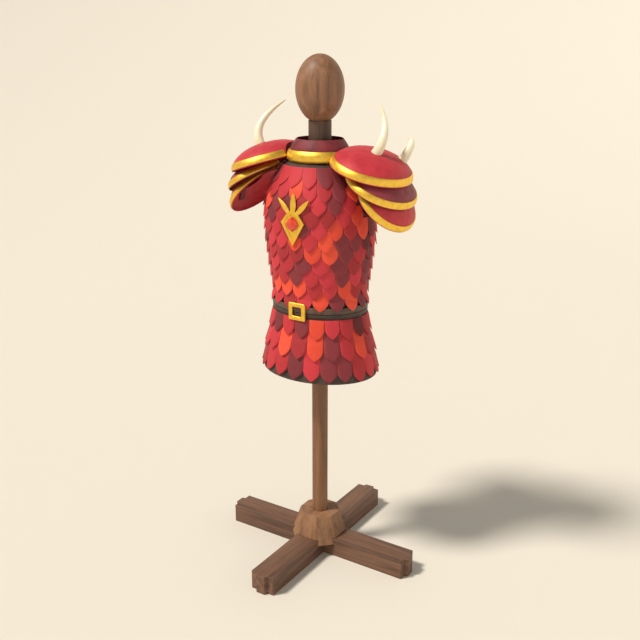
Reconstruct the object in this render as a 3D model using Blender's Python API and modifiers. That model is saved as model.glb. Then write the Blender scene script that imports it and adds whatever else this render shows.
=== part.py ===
# Scale armour on a wooden stand, in metres, +Z up. The armour faces -Y and the floor is z = 0.
import math

import bmesh
import bpy
import numpy as np
from mathutils import Vector

# Stand
beam_half_length = 0.362
beam_width = 0.090
beam_height = 0.068
nose_width = 0.042
nose_depth = 0.013
hub_top = 0.148
hub_bottom = 0.047
hub_top_radius = 0.0725
hub_bottom_radius = 0.105
pole_radius = 0.0277
pole_top = 1.3295
yoke_bottom = 1.330
yoke_top = 1.404
yoke_depth = 0.090
neck_radius = 0.0372
neck_top = 1.5457
head_radius = 0.0786
head_half_height = 0.107
head_centre = 1.643

# Seating and walls
seat = 0.0003
seam_gap = 0.0010
cloth_wall = 0.0025
scale_wall = 0.002
row_gap = 0.0004
cloth_segments = 24
belt_segments = 48

# Body: half width and half depth of the scale tips at each height
body = {
    "z": (0.9485, 0.9885, 1.0285, 1.0685, 1.1085, 1.1485, 1.1885, 1.2285, 1.2685, 1.3085, 1.3485, 1.4100),
    "a": (0.1655, 0.1685, 0.1745, 0.1808, 0.1870, 0.1925, 0.1960, 0.1972, 0.1970, 0.1905, 0.1720, 0.1300),
    "b": (0.1340, 0.1357, 0.1402, 0.1456, 0.1508, 0.1550, 0.1575, 0.1582, 0.1580, 0.1542, 0.1430, 0.1205),
}
body_rows = {
    "count": (18, 22, 22, 22, 22, 22, 20, 18, 20, 20, 18),
    "centre": (-74.6, -73.7, -64.0, -72.0, -64.0, -73.5, -70.5, -82.0, -73.0, -87.5, -62.0),
}
row_pitch = 0.040
scale_length = 0.068
first_tip = 1.3485
first_top = 1.410
run_reach = 62.0
low_run_reach = 68.0
notch_height = 0.0286
shoulder_height = 0.0125
curved_rows = 4

# Armholes, across the body
armhole_z = 1.312
armhole_half_height = 0.054
armhole_half_depth = 0.045

# Neck
neckline = {
    "z": (1.4100, 1.4160, 1.4186, 1.4210),
    "a": (0.1200, 0.1060, 0.0993, 0.0985),
    "b": (0.1115, 0.0995, 0.0943, 0.0935),
}
collar = {
    "z": (1.4215, 1.4560, 1.4720, 1.4895),
    "a": (0.0985, 0.0978, 0.0905, 0.0785),
    "b": (0.0935, 0.0928, 0.0858, 0.0745),
}
ring = {
    "z": (1.4193, 1.4200, 1.4255, 1.4340, 1.4440, 1.4525, 1.4560, 1.4540),
    "a": (0.0995, 0.1045, 0.1095, 0.1120, 0.1100, 0.1045, 0.1000, 0.0990),
    "b": (0.0945, 0.0990, 0.1030, 0.1050, 0.1035, 0.0985, 0.0950, 0.0940),
}

# Waist and skirt
belt_bottom = 0.928
belt_top = 0.953
belt_a = 0.1700
belt_b = 0.1400
belt_wall = 0.0035
buckle_width = 0.060
buckle_height = 0.058
buckle_hole_width = 0.036
buckle_hole_height = 0.033
buckle_depth = 0.007
buckle_z = 0.942
waist_seam = 0.9367
skirt_rows = {
    "tip": (0.856, 0.786, 0.716),
    "a": (0.1826, 0.2015, 0.2115),
    "b": (0.1470, 0.1620, 0.1690),
    "count": (20, 20, 21),
    "centre": (-84.0, -86.0, -88.5),
    "top": (0.9195, 0.8840, 0.8140),
}
skirt_top_a = 0.1692
skirt_top_b = 0.1387
hem_z = 0.7065
hem_a = 0.2065
hem_b = 0.1640

# Shoulder lames: centre of the rim, tilt in degrees, half width, half depth and height of each dome
lames = (
    {"x": 0.1912, "z": 1.3979, "tilt": 17.2, "a": 0.1275, "b": 0.1511, "h": 0.0694, "rows": (0, 14, 28, 46, 66)},
    {"x": 0.2265, "z": 1.3470, "tilt": 28.7, "a": 0.1135, "b": 0.1405, "h": 0.0620, "rows": (0, 14, 34, 58)},
    {"x": 0.2440, "z": 1.2985, "tilt": 47.0, "a": 0.1060, "b": 0.1270, "h": 0.0590, "rows": (0, 14, 34, 57)},
)
lame_segments = 18
lame_wall = 0.0022
band_from = 3.0
band_to = 22.0
band_wall = 0.0022
strap_width = 0.026
strap_wall = 0.0018
strap_foot = (1.385, 1.402)

# Horns: base, middle and tip on the +X shoulder, and radius at the base
horns = (
    {"base": (0.2165, -0.018, 1.4645), "middle": (0.2350, 0.000, 1.5215), "tip": (0.178, 0.068, 1.599), "radius": 0.018},
    {"base": (0.2620, 0.070, 1.4310), "middle": (0.2780, 0.096, 1.4750), "tip": (0.248, 0.131, 1.489), "radius": 0.017},
)
horn_sides = 8
horn_steps = 6

# Brooch
brooch_half_width = 0.044
brooch_low = 1.165
brooch_high = 1.283
brooch_wide_z = 1.240
brooch_y = -0.1583
brooch_depth = 0.006
stone_half = 0.0245
stone_z = 1.236


# Scene, collections and materials
for old in list(bpy.data.objects):
    bpy.data.objects.remove(old, do_unlink=True)

armour = bpy.data.collections.new("scale_armour_on_stand")
cutters = bpy.data.collections.new("cutters")
bpy.context.scene.collection.children.link(armour)
bpy.context.scene.collection.children.link(cutters)
cutters.hide_render = True


def material(name, colour, metallic, roughness):
    made = bpy.data.materials.new(name)
    made.use_nodes = True
    shader = made.node_tree.nodes["Principled BSDF"]
    shader.inputs["Base Color"].default_value = (*colour, 1.0)
    shader.inputs["Metallic"].default_value = metallic
    shader.inputs["Roughness"].default_value = roughness
    return made


def add(name, mesh, colour=None, metallic=0.0, roughness=0.6, cutter=False):
    """Links the mesh as an object, among the parts or the cutters."""
    obj = bpy.data.objects.new(name, mesh)
    if cutter:
        cutters.objects.link(obj)
        obj.hide_render = True
        obj.display_type = "WIRE"
    else:
        armour.objects.link(obj)
        mesh.materials.append(material(name, colour, metallic, roughness))
    return obj


def grid_mesh(name, points, around=False, cap=False, apex=None, flip=False):
    """A surface through rows of points. It may close round, be capped at both ends, or run to an apex."""
    points = np.asarray(points, dtype=float)
    rows, columns = points.shape[:2]
    corners = [tuple(p) for p in points.reshape(-1, 3)]
    faces = []
    last = columns if around else columns - 1
    for i in range(rows - 1):
        for j in range(last):
            k = (j + 1) % columns
            faces.append((i * columns + j, i * columns + k, (i + 1) * columns + k, (i + 1) * columns + j))
    if cap:
        faces.append(tuple(range(columns))[::-1])
        if apex is None:
            faces.append(tuple((rows - 1) * columns + j for j in range(columns)))
    if apex is not None:
        corners.append(tuple(apex))
        top = (rows - 1) * columns
        for j in range(columns):
            faces.append((top + j, top + (j + 1) % columns, len(corners) - 1))
    if flip:
        faces = [face[::-1] for face in faces]
    mesh = bpy.data.meshes.new(name)
    mesh.from_pydata(corners, [], faces)
    mesh.update()
    return mesh


def solidify(obj, wall, outward=False):
    shell = obj.modifiers.new("wall", "SOLIDIFY")
    shell.thickness = wall
    shell.offset = 1.0 if outward else -1.0
    shell.use_even_offset = True
    return obj


def boolean(obj, other, operation="DIFFERENCE"):
    cut = obj.modifiers.new(operation.lower(), "BOOLEAN")
    cut.operation = operation
    cut.object = other
    cut.solver = "EXACT"
    return obj


def ellipse_rows(profile, angles):
    """Points on an ellipse at each height of the profile, rows from the bottom up."""
    angles = np.radians(angles)
    rows = []
    for z, a, b in profile:
        rows.append(np.stack([a * np.cos(angles), b * np.sin(angles), np.full_like(angles, z)], axis=1))
    return np.array(rows)


def full_turn(segments, start=0.0):
    return start + np.arange(segments) * 360.0 / segments


def box_mesh(name, low, high):
    mesh = bpy.data.meshes.new(name)
    work = bmesh.new()
    bmesh.ops.create_cube(work, size=1.0)
    low, high = Vector(low), Vector(high)
    for corner in work.verts:
        corner.co = Vector((low[i] + (corner.co[i] + 0.5) * (high[i] - low[i]) for i in range(3)))
    work.to_mesh(mesh)
    work.free()
    return mesh


def cylinder_mesh(name, radius, low, high, segments):
    angles = full_turn(segments)
    rows = ellipse_rows(((low, radius, radius), (high, radius, radius)), angles)
    return grid_mesh(name, rows, around=True, cap=True)


def slope_factor(z):
    """How much longer a radial step is than one square to the body, where the body leans."""
    run = np.interp(z + 0.01, body["z"], body["a"]) - np.interp(z - 0.01, body["z"], body["a"])
    return math.sqrt(1 + min(abs(run) / 0.02, 1.0) ** 2)


def along(knots, z):
    """Half width and half depth of a profile at one height. Knots run upwards."""
    heights = [k[0] for k in knots]
    return (np.interp(z, heights, [k[1] for k in knots]), np.interp(z, heights, [k[2] for k in knots]))


# Stand
def beam_outline():
    end = beam_half_length
    half = beam_width / 2
    nose = nose_width / 2
    right = [(end, -half), (end, -nose), (end + nose_depth, -nose + 0.004), (end + nose_depth, nose - 0.004),
             (end, nose), (end, half)]
    return right + [(-x, -y) for x, y in right]


def beam(name, along_y, colour):
    outline = beam_outline()
    if along_y:
        outline = [(-y, x) for x, y in outline]
    rows = [[(x, y, z) for x, y in outline] for z in (0.0, beam_height)]
    return add(name, grid_mesh(name, rows, around=True, cap=True), colour, 0.0, 0.55)


lap = beam_width / 2 + seat
lap_over = add("lap_over", box_mesh("lap_over", (-lap, -0.2, beam_height / 2 - seat / 2), (lap, 0.2, 0.2)), cutter=True)
lap_under = add("lap_under", box_mesh("lap_under", (-0.2, -lap, -0.1), (0.2, lap, beam_height / 2 + seat / 2)), cutter=True)
boolean(beam("beam_x", False, (0.16, 0.08, 0.045)), lap_over)
boolean(beam("beam_y", True, (0.16, 0.08, 0.045)), lap_under)

hub_rows = ellipse_rows(((hub_bottom, hub_bottom_radius, hub_bottom_radius), (hub_top, hub_top_radius, hub_top_radius)),
                        full_turn(8, 22.5))
hub = add("hub", grid_mesh("hub", hub_rows, around=True, cap=True), (0.35, 0.17, 0.08), 0.0, 0.5)
under = beam_height + seat
saddle_x = add("saddle_x", box_mesh("saddle_x", (-0.2, -lap, -0.1), (0.2, lap, under)), cutter=True)
saddle_y = add("saddle_y", box_mesh("saddle_y", (-lap, -0.2, -0.1), (lap, 0.2, under)), cutter=True)
socket = add("socket", cylinder_mesh("socket", pole_radius + seat, under + 0.004, 0.3, 24), cutter=True)
for cutter in (saddle_x, saddle_y, socket):
    boolean(hub, cutter)

pole_bottom = under + 0.004 + seat
add("pole", cylinder_mesh("pole", pole_radius, pole_bottom, pole_top, 24), (0.24, 0.12, 0.055), 0.0, 0.5)
add("neck", cylinder_mesh("neck", neck_radius, yoke_top + seat, neck_top, 24), (0.12, 0.06, 0.03), 0.0, 0.5)

head_mesh = bpy.data.meshes.new("head")
turn = np.radians((0, 16, 33, 50, 68, 86, 104, 122, 140, 155))
head_points = [(head_radius * math.sin(t), 0.0, head_centre + head_half_height * math.cos(t)) for t in turn]
head_foot = neck_top + seat
head_points.append((0.0353, 0.0, head_foot))
head_points.append((0.0, 0.0, head_foot))
head_points[0] = (0.0, 0.0, head_centre + head_half_height)
head_mesh.from_pydata(head_points, [(i, i + 1) for i in range(len(head_points) - 1)], [])
head = add("head", head_mesh, (0.27, 0.14, 0.07), 0.0, 0.45)
lathe = head.modifiers.new("lathe", "SCREW")
lathe.steps = 18
lathe.render_steps = 18
lathe.use_merge_vertices = True
lathe.merge_threshold = 0.0001


# Rows of scales on the body. Each row is one strip with a pointed tip below every scale.
def body_row(index, previous):
    """Knots of one row's outer face, from its tips up, clear of the row above."""
    tip = first_tip - index * row_pitch
    factor = slope_factor(tip)
    knots = [(tip, np.interp(tip, body["z"], body["a"]), np.interp(tip, body["z"], body["b"]))]
    if index == 0:
        knots.append((first_top, 0.1250, 0.1160))
        return knots
    heights = [tip + scale_length]
    if index < curved_rows:
        heights.insert(0, tip + row_pitch)
    for z in heights:
        drop = (scale_wall + row_gap) * slope_factor(z)
        top = []
        for part in (1, 2):
            level = np.interp(z, [k[0] for k in previous], [k[part] for k in previous]) - drop
            if len(heights) == 1:
                under_tip = previous[0][part] - drop
                level = min(level, knots[0][part] + (under_tip - knots[0][part]) * scale_length / row_pitch)
            top.append(level)
        knots.append((z, top[0], top[1]))
    return knots


def scale_strip(knots, count, centre, keep, notch, shoulder):
    """Surface of a row: four columns a scale, notched between scales and pointed at each centre."""
    pitch = 360.0 / count
    part = np.array((0.0, 0.22, 0.5, 0.78))
    rise = np.array((notch, shoulder, 0.0, shoulder))
    whole = len(keep) == count
    angles = []
    rises = []
    for i in keep:
        angles.extend(centre - pitch / 2 + (i + part) * pitch)
        rises.extend(rise)
    if not whole:
        angles.append(centre - pitch / 2 + (keep[-1] + 1) * pitch)
        rises.append(notch)
    angles = np.radians(angles)
    tip = knots[0][0]
    lines = [tip + np.array(rises)]
    for z, _, _ in knots[1:]:
        lines.append(np.full(len(angles), z))
    rows = []
    for line in lines:
        a, b = along(knots, line)
        rows.append(np.stack([a * np.cos(angles), b * np.sin(angles), line], axis=1))
    return np.array(rows), whole


arm_angles = full_turn(16)


def armhole_cutter(name, more):
    rows = []
    for x in (-0.3, 0.3):
        y = (armhole_half_depth + more) * np.cos(np.radians(arm_angles))
        z = armhole_z + (armhole_half_height + more) * np.sin(np.radians(arm_angles))
        rows.append(np.stack([np.full_like(y, x), y, z], axis=1))
    return add(name, grid_mesh(name, rows, around=True, cap=True), cutter=True)


arm_cloth = armhole_cutter("arm_cloth", 0.0)
arm_scales = armhole_cutter("arm_scales", 0.002)

scale_red = (0.42, 0.03, 0.035)
rows_made = []
for index, (count, centre) in enumerate(zip(body_rows["count"], body_rows["centre"])):
    knots = body_row(index, rows_made[-1] if rows_made else None)
    rows_made.append(knots)
    pitch = 360.0 / count
    runs = (("front", -90.0), ("back", 90.0)) if index < curved_rows else (("", None),)
    for word, facing in runs:
        keep = list(range(count))
        if facing is not None:
            reach = low_run_reach if index == curved_rows - 1 else run_reach
            keep = [i for i in range(-count, 2 * count) if abs(centre + i * pitch - facing) < reach]
        rows, whole = scale_strip(knots, count, centre, keep, notch_height, shoulder_height)
        name = f"scale_row_{index + 1:02d}" + (f"_{word}" if word else "")
        strip = add(name, grid_mesh(name, rows, around=whole), scale_red, 0.1, 0.42)
        solidify(strip, scale_wall)
        if index <= curved_rows:
            boolean(strip, arm_scales)


# Jerkin: its outer face lies just inside the tops of the rows
jerkin_knots = []
for index in range(len(rows_made) - 1, -1, -1):
    z, a, b = rows_made[index][-1]
    if index in (0, 6, 8):
        continue
    drop = (scale_wall + 0.0005) * slope_factor(z)
    jerkin_knots.append((z, a - drop, b - drop))
waist_a = belt_a - belt_wall - 0.0011
waist_b = belt_b - belt_wall - 0.0011
low = [(waist_seam + seat, waist_a, waist_b), (waist_seam + 0.003, waist_a, waist_b), (0.9455, 0.1590, 0.1276)]
for z, a, b in zip(neckline["z"], neckline["a"], neckline["b"]):
    jerkin_knots.append((z, a, b))
jerkin_knots = low + jerkin_knots


def panel(name, knots, front, colour):
    """Half of a tube of cloth, front or back, parted from the other half at the side seams."""
    gap = math.degrees(seam_gap / 2 / knots[0][2])
    start = -180.0 if front else 0.0
    angles = np.linspace(start + gap, start + 180.0 - gap, cloth_segments // 2 + 1)
    made = add(name, grid_mesh(name, ellipse_rows(knots, angles)), colour, 0.0, 0.85)
    return solidify(made, cloth_wall)


leather_brown = (0.075, 0.045, 0.03)
boolean(panel("jerkin_front", jerkin_knots, True, leather_brown), arm_cloth)
boolean(panel("jerkin_back", jerkin_knots, False, leather_brown), arm_cloth)


# Skirt and its rows
skirt_made = []
for index in range(3):
    tip = skirt_rows["tip"][index]
    knots = [(tip, skirt_rows["a"][index], skirt_rows["b"][index])]
    top = skirt_rows["top"][index]
    if index == 0:
        knots.append((top, skirt_top_a, skirt_top_b))
    else:
        above = skirt_made[-1]
        drop = scale_wall + row_gap + 0.0003
        stretch = (top - tip) / (above[0][0] - tip)
        ends = []
        for part in (1, 2):
            level = np.interp(top, [k[0] for k in above], [k[part] for k in above]) - drop
            ends.append(min(level, knots[0][part] + (above[0][part] - drop - knots[0][part]) * stretch))
        knots.append((top, ends[0], ends[1]))
    skirt_made.append(knots)
    count = skirt_rows["count"][index]
    rows, whole = scale_strip(knots, count, skirt_rows["centre"][index], list(range(count)), 0.024, 0.0105)
    name = f"skirt_row_{index + 1}"
    solidify(add(name, grid_mesh(name, rows, around=True), scale_red, 0.1, 0.42), scale_wall)

skirt_knots = [(hem_z, hem_a, hem_b), (skirt_rows["tip"][2], skirt_rows["a"][2] - 0.0062, skirt_rows["b"][2] - 0.0062)]
for index in (2, 1, 0):
    z, a, b = skirt_made[index][-1]
    skirt_knots.append((z, a - scale_wall - 0.0006, b - scale_wall - 0.0006))
skirt_knots.append((waist_seam, waist_a, waist_b))
panel("skirt_front", skirt_knots, True, leather_brown)
panel("skirt_back", skirt_knots, False, leather_brown)


# Belt and buckle
belt_rows = ellipse_rows(((belt_bottom, belt_a, belt_b), (belt_top, belt_a, belt_b)), full_turn(belt_segments))
solidify(add("belt", grid_mesh("belt", belt_rows, around=True), (0.10, 0.055, 0.035), 0.0, 0.6), belt_wall)


def frame_ring(half_width, half_height, y, corner):
    """Eight points of a rectangle with cut corners, facing -Y."""
    w, h, c = half_width, half_height, corner
    flat = ((w, -h + c), (w, h - c), (w - c, h), (-w + c, h), (-w, h - c), (-w, -h + c), (-w + c, -h), (w - c, -h))
    return [(x, y, buckle_z + z) for x, z in flat]


buckle_back = -(belt_b + 0.0004)
buckle_face = buckle_back - buckle_depth
bw, bh = buckle_width / 2, buckle_height / 2
hw, hh = buckle_hole_width / 2, buckle_hole_height / 2
buckle_loop = (
    frame_ring(hw, hh, buckle_back, 0.003),
    frame_ring(bw, bh, buckle_back, 0.003),
    frame_ring(bw, bh, buckle_face + 0.002, 0.003),
    frame_ring(bw - 0.0025, bh - 0.0025, buckle_face, 0.003),
    frame_ring(hw + 0.0025, hh + 0.0025, buckle_face, 0.003),
    frame_ring(hw, hh, buckle_face + 0.002, 0.003),
    frame_ring(hw, hh, buckle_back, 0.003),
)
buckle_mesh = grid_mesh("buckle", buckle_loop, around=True)
work = bmesh.new()
work.from_mesh(buckle_mesh)
bmesh.ops.remove_doubles(work, verts=work.verts, dist=0.00001)
bmesh.ops.recalc_face_normals(work, faces=work.faces)
work.to_mesh(buckle_mesh)
work.free()
gilt = (0.75, 0.45, 0.10)
add("buckle", buckle_mesh, gilt, 1.0, 0.35)


# Collar and the gilt ring at its foot
collar_knots = list(zip(collar["z"], collar["a"], collar["b"]))
collar_rows = ellipse_rows(collar_knots, full_turn(cloth_segments))
solidify(add("collar", grid_mesh("collar", collar_rows, around=True), (0.26, 0.035, 0.045), 0.0, 0.7), cloth_wall)

ring_knots = list(zip(ring["z"], ring["a"], ring["b"]))
ring_rows = ellipse_rows(ring_knots + ring_knots[:1], full_turn(cloth_segments))
ring_mesh = grid_mesh("collar_ring", ring_rows, around=True)
work = bmesh.new()
work.from_mesh(ring_mesh)
bmesh.ops.remove_doubles(work, verts=work.verts, dist=0.00001)
bmesh.ops.recalc_face_normals(work, faces=work.faces)
work.to_mesh(ring_mesh)
work.free()
add("collar_ring", ring_mesh, gilt, 1.0, 0.35)


# Yoke: a board cut to the inside of the shoulders
inner_knots = []
for z, a, b in jerkin_knots[-9:]:
    inset = (cloth_wall + 0.0005) * slope_factor(z) * 1.15
    inner_knots.append((z, a - inset, b - inset))
inner_body = add("inner_body", grid_mesh("inner_body", ellipse_rows(inner_knots, full_turn(cloth_segments)),
                                         around=True, cap=True), cutter=True)
yoke_mesh = box_mesh("yoke", (-0.155, -yoke_depth / 2, yoke_bottom), (0.155, yoke_depth / 2, yoke_top))
boolean(add("yoke", yoke_mesh, (0.24, 0.12, 0.055), 0.0, 0.5), inner_body, "INTERSECT")


# Shoulder lames, their bands, the leathers inside them and the horns
def dome_point(lame, turn, rise, lift):
    """A point on a dome, at an angle round the rim and an angle above it, moved out by lift."""
    tilt = math.radians(lame["tilt"])
    out = np.array((math.cos(tilt), 0.0, -math.sin(tilt)))
    up = np.array((math.sin(tilt), 0.0, math.cos(tilt)))
    across = np.array((0.0, 1.0, 0.0))
    turn, rise = np.radians(turn), np.radians(rise)
    return (np.array((lame["x"], 0.0, lame["z"]))
            + (lame["a"] + lift) * math.cos(rise) * math.cos(turn) * out
            + (lame["b"] + lift) * math.cos(rise) * math.sin(turn) * across
            + (lame["h"] + lift) * math.sin(rise) * up)


def strap_point(lame, rise, y):
    """A point just inside a dome, on the way over it from the arm side at 0 to the neck side at 180."""
    lift = -(lame_wall + seat + 0.0014)
    tilt = math.radians(lame["tilt"])
    out = np.array((math.cos(tilt), 0.0, -math.sin(tilt)))
    up = np.array((math.sin(tilt), 0.0, math.cos(tilt)))
    shrink = math.sqrt(1 - (y / lame["b"]) ** 2)
    rise = math.radians(rise)
    return (np.array((lame["x"], y, lame["z"])) + (lame["a"] + lift) * shrink * math.cos(rise) * out
            + (lame["h"] + lift) * shrink * math.sin(rise) * up)


def dome_rows(lame, rises, lift, side):
    rows = [[dome_point(lame, t, rise, lift) * (side, 1, 1) for t in full_turn(lame_segments)] for rise in rises]
    return rows


body_knots = [(z, a + 0.0025, b + 0.0025) for z, a, b in zip(body["z"], body["a"], body["b"])][4:]
body_knots += [(1.4185, 0.1165, 0.1100), (1.52, 0.1165, 0.1100)]
clear_body = add("clear_body", grid_mesh("clear_body", ellipse_rows(body_knots, full_turn(48)), around=True, cap=True),
                 cutter=True)

for side, word in ((1, "right"), (-1, "left")):
    for number, lame in enumerate(lames):
        name = f"lame_{word}_{number + 1}"
        apex = dome_point(lame, 0, 90, 0.0) * (side, 1, 1) if number == 0 else None
        mesh = grid_mesh(name, dome_rows(lame, lame["rows"], 0.0, side), around=True, apex=apex, flip=side < 0)
        boolean(solidify(add(name, mesh, scale_red, 0.1, 0.4), lame_wall), clear_body)
        band_name = f"band_{word}_{number + 1}"
        band_rows = dome_rows(lame, (band_from, 14.0, band_to), seat + 0.0001, side)
        band_mesh = grid_mesh(band_name, band_rows, around=True, flip=side < 0)
        boolean(solidify(add(band_name, band_mesh, gilt, 1.0, 0.35), band_wall, outward=True), clear_body)

    strap_rows = []
    for edge in (-strap_width / 2, strap_width / 2):
        row = []
        for z in strap_foot:
            a, b = along(jerkin_knots, z)
            row.append(np.array((side * (a + 0.0008) * math.sqrt(1 - (edge / b) ** 2), edge, z)))
        for number, rises in ((0, (134, 114, 90, 66, 56)), (1, (74, 58, 34)), (2, (70, 57, 34))):
            for rise in rises:
                row.append(strap_point(lames[number], rise, edge) * (side, 1, 1))
        strap_rows.append(row)
    strap_mesh = grid_mesh(f"leather_{word}", strap_rows, flip=side < 0)
    solidify(add(f"leather_{word}", strap_mesh, (0.10, 0.055, 0.035), 0.0, 0.7), strap_wall)

    dome_name = f"dome_{word}"
    dome_cut = add(dome_name, grid_mesh(dome_name, dome_rows(lames[0], lames[0]["rows"], seat, side), around=True, cap=True,
                                        apex=dome_point(lames[0], 0, 90, seat) * (side, 1, 1), flip=side < 0), cutter=True)
    for number, horn in enumerate(horns[:2 if side > 0 else 1]):
        base, middle, tip = (np.array(horn[k]) for k in ("base", "middle", "tip"))
        start = base - (middle - base) * 0.35
        control = 2 * middle - (start + tip) / 2
        rows = []
        for i in range(horn_steps):
            t = i / horn_steps
            centre = (1 - t) ** 2 * start + 2 * t * (1 - t) * control + t * t * tip
            way = 2 * (1 - t) * (control - start) + 2 * t * (tip - control)
            way = way / np.linalg.norm(way)
            first = np.cross(way, (0.0, 1.0, 0.0))
            first = first / np.linalg.norm(first)
            second = np.cross(way, first)
            radius = horn["radius"] * (1 - t) ** 0.55
            angles = np.radians(full_turn(horn_sides))
            rows.append([(centre + radius * (math.cos(u) * first + math.sin(u) * second)) * (side, 1, 1) for u in angles])
        name = f"horn_{word}_{number + 1}"
        mesh = grid_mesh(name, rows, around=True, cap=True, apex=tip * (side, 1, 1), flip=side < 0)
        boolean(add(name, mesh, (0.85, 0.78, 0.58), 0.0, 0.4), dome_cut)


# Brooch: a kite plate with a sunk face, three leaves joined above it, and the stone
def kite(inset, y):
    wide = brooch_half_width - inset * 1.25
    high = brooch_high - inset * 1.25
    low_z = brooch_low + inset * 1.9
    return [(0.0, y, low_z), (wide, y, brooch_wide_z), (wide * 0.55, y, (brooch_wide_z + high) / 2 + 0.004), (0.0, y, high),
            (-wide * 0.55, y, (brooch_wide_z + high) / 2 + 0.004), (-wide, y, brooch_wide_z)]


face = brooch_y - brooch_depth
plate_rows = (kite(0.0, brooch_y), kite(0.0, face + 0.002), kite(0.003, face), kite(0.009, face), kite(0.011, face + 0.002))
plate_mesh = grid_mesh("brooch_plate", plate_rows, around=True, cap=True)
plate = add("brooch_plate", plate_mesh, gilt, 1.0, 0.35)

leaves = (
    ("leaf_middle", ((0.0, 1.268), (0.0, 1.305), (0.0, 1.338)), 0.011),
    ("leaf_right", ((0.010, 1.270), (0.036, 1.292), (0.060, 1.318)), 0.009),
    ("leaf_left", ((-0.010, 1.270), (-0.036, 1.292), (-0.060, 1.318)), 0.009),
)


def front_y(x, z):
    a = np.interp(z, body["z"], body["a"])
    b = np.interp(z, body["z"], body["b"])
    return -b * math.sqrt(1 - (x / a) ** 2)


for name, path, width in leaves:
    start, control, end = (np.array(p) for p in path)
    rows = []
    for i in range(5):
        t = i / 5
        x, z = (1 - t) ** 2 * start + 2 * t * (1 - t) * control + t * t * end
        way = 2 * (1 - t) * (control - start) + 2 * t * (end - control)
        way = way / np.linalg.norm(way)
        side_way = np.array((way[1], -way[0]))
        half = width * (0.55 + 1.9 * t * (1 - t)) * (1 - t ** 4)
        back = min(front_y(x, z) - 0.0012, brooch_y + 0.004 * t) - 0.0006
        ring_points = []
        for across, lift in ((1.0, 0.0), (0.55, 0.0045), (-0.55, 0.0045), (-1.0, 0.0)):
            ring_points.append((x + side_way[0] * across * half, back - lift, z + side_way[1] * across * half))
        rows.append(ring_points)
    x, z = end
    leaf = add(name, grid_mesh(name, rows, around=True, cap=True, apex=(x, front_y(x, z) - 0.0028, z)), cutter=True)
    work = bmesh.new()
    work.from_mesh(leaf.data)
    bmesh.ops.recalc_face_normals(work, faces=work.faces)
    work.to_mesh(leaf.data)
    work.free()
    boolean(plate, leaf, "UNION")


def stone_ring(half, y, cut):
    flat = []
    for u in full_turn(8):
        reach = half if round(u / 45) % 2 == 0 else half * cut
        flat.append((reach * math.cos(math.radians(u)), y, stone_z + reach * math.sin(math.radians(u))))
    return flat


floor_y = face + 0.002 - seat
stone_rows = (stone_ring(stone_half - 0.003, floor_y, 0.80), stone_ring(stone_half, floor_y - 0.002, 0.80),
              stone_ring(stone_half * 0.82, floor_y - 0.006, 0.84), stone_ring(stone_half * 0.5, floor_y - 0.0085, 0.9))
add("brooch_stone", grid_mesh("brooch_stone", stone_rows, around=True, cap=True), (0.45, 0.01, 0.02), 0.0, 0.15)

# Every closed mesh faces out
for obj in list(armour.objects) + list(cutters.objects):
    if any(m.type in ("SOLIDIFY", "SCREW") for m in obj.modifiers):
        continue
    work = bmesh.new()
    work.from_mesh(obj.data)
    bmesh.ops.recalc_face_normals(work, faces=work.faces)
    work.to_mesh(obj.data)
    work.free()
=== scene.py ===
import math

import bmesh
import bpy
import numpy as np
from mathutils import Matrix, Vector


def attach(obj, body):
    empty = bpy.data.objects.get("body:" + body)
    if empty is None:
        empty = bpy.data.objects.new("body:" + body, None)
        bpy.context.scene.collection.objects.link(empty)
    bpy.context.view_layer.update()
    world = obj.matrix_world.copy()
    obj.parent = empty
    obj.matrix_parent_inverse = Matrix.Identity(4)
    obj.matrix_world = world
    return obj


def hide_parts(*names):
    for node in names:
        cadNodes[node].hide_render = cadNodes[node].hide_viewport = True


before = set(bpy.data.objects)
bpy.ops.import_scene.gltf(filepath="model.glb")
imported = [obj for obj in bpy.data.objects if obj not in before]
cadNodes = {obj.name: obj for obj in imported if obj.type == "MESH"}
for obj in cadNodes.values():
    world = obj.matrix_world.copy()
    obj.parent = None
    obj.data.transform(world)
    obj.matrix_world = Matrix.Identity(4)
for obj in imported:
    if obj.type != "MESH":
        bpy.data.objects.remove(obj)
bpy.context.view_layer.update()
rng = np.random.default_rng(11)
print("frame loaded,", len(cadNodes), "nodes")

weldDistance = 0.00002  # metres; points nearer than this are made one


# helpers for meshes

def newObject(name, points, faces):
    mesh = bpy.data.meshes.new(name)
    mesh.from_pydata(points.reshape(-1, 3).tolist(), [], faces)
    obj = bpy.data.objects.new(name, mesh)
    bpy.context.scene.collection.objects.link(obj)
    return obj


def gridObject(name, points, around=False, capFirst=False, capLast=False, endless=False):
    # quads between neighbouring rows of a grid of points; where around is set the last column
    # joins the first, and where endless is set the last row joins the first
    rowCount, columnCount = points.shape[:2]
    i = np.arange(rowCount if endless else rowCount - 1)[:, None]
    j = np.arange(columnCount if around else columnCount - 1)[None, :]
    nextI, nextJ = (i + 1) % rowCount, (j + 1) % columnCount
    corners = [row * columnCount + column for row, column in ((i, j), (i, nextJ), (nextI, nextJ), (nextI, j))]
    faces = np.stack(corners, -1).reshape(-1, 4).tolist()
    if capFirst:
        faces.append(list(range(columnCount))[::-1])
    if capLast:
        faces.append([(rowCount - 1) * columnCount + k for k in range(columnCount)])
    return newObject(name, points, faces)


def patchesObject(name, patches):
    # many equal grids in one mesh: patches is patch, row, column, xyz
    patchCount, rowCount, columnCount = patches.shape[:3]
    i = np.arange(rowCount - 1)[:, None] * columnCount
    j = np.arange(columnCount - 1)[None, :]
    quads = np.stack([i + j, i + j + 1, i + columnCount + j + 1, i + columnCount + j], -1).reshape(1, -1, 4)
    first = (np.arange(patchCount) * rowCount * columnCount)[:, None, None]
    return newObject(name, patches, (quads + first).reshape(-1, 4).tolist())


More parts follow.
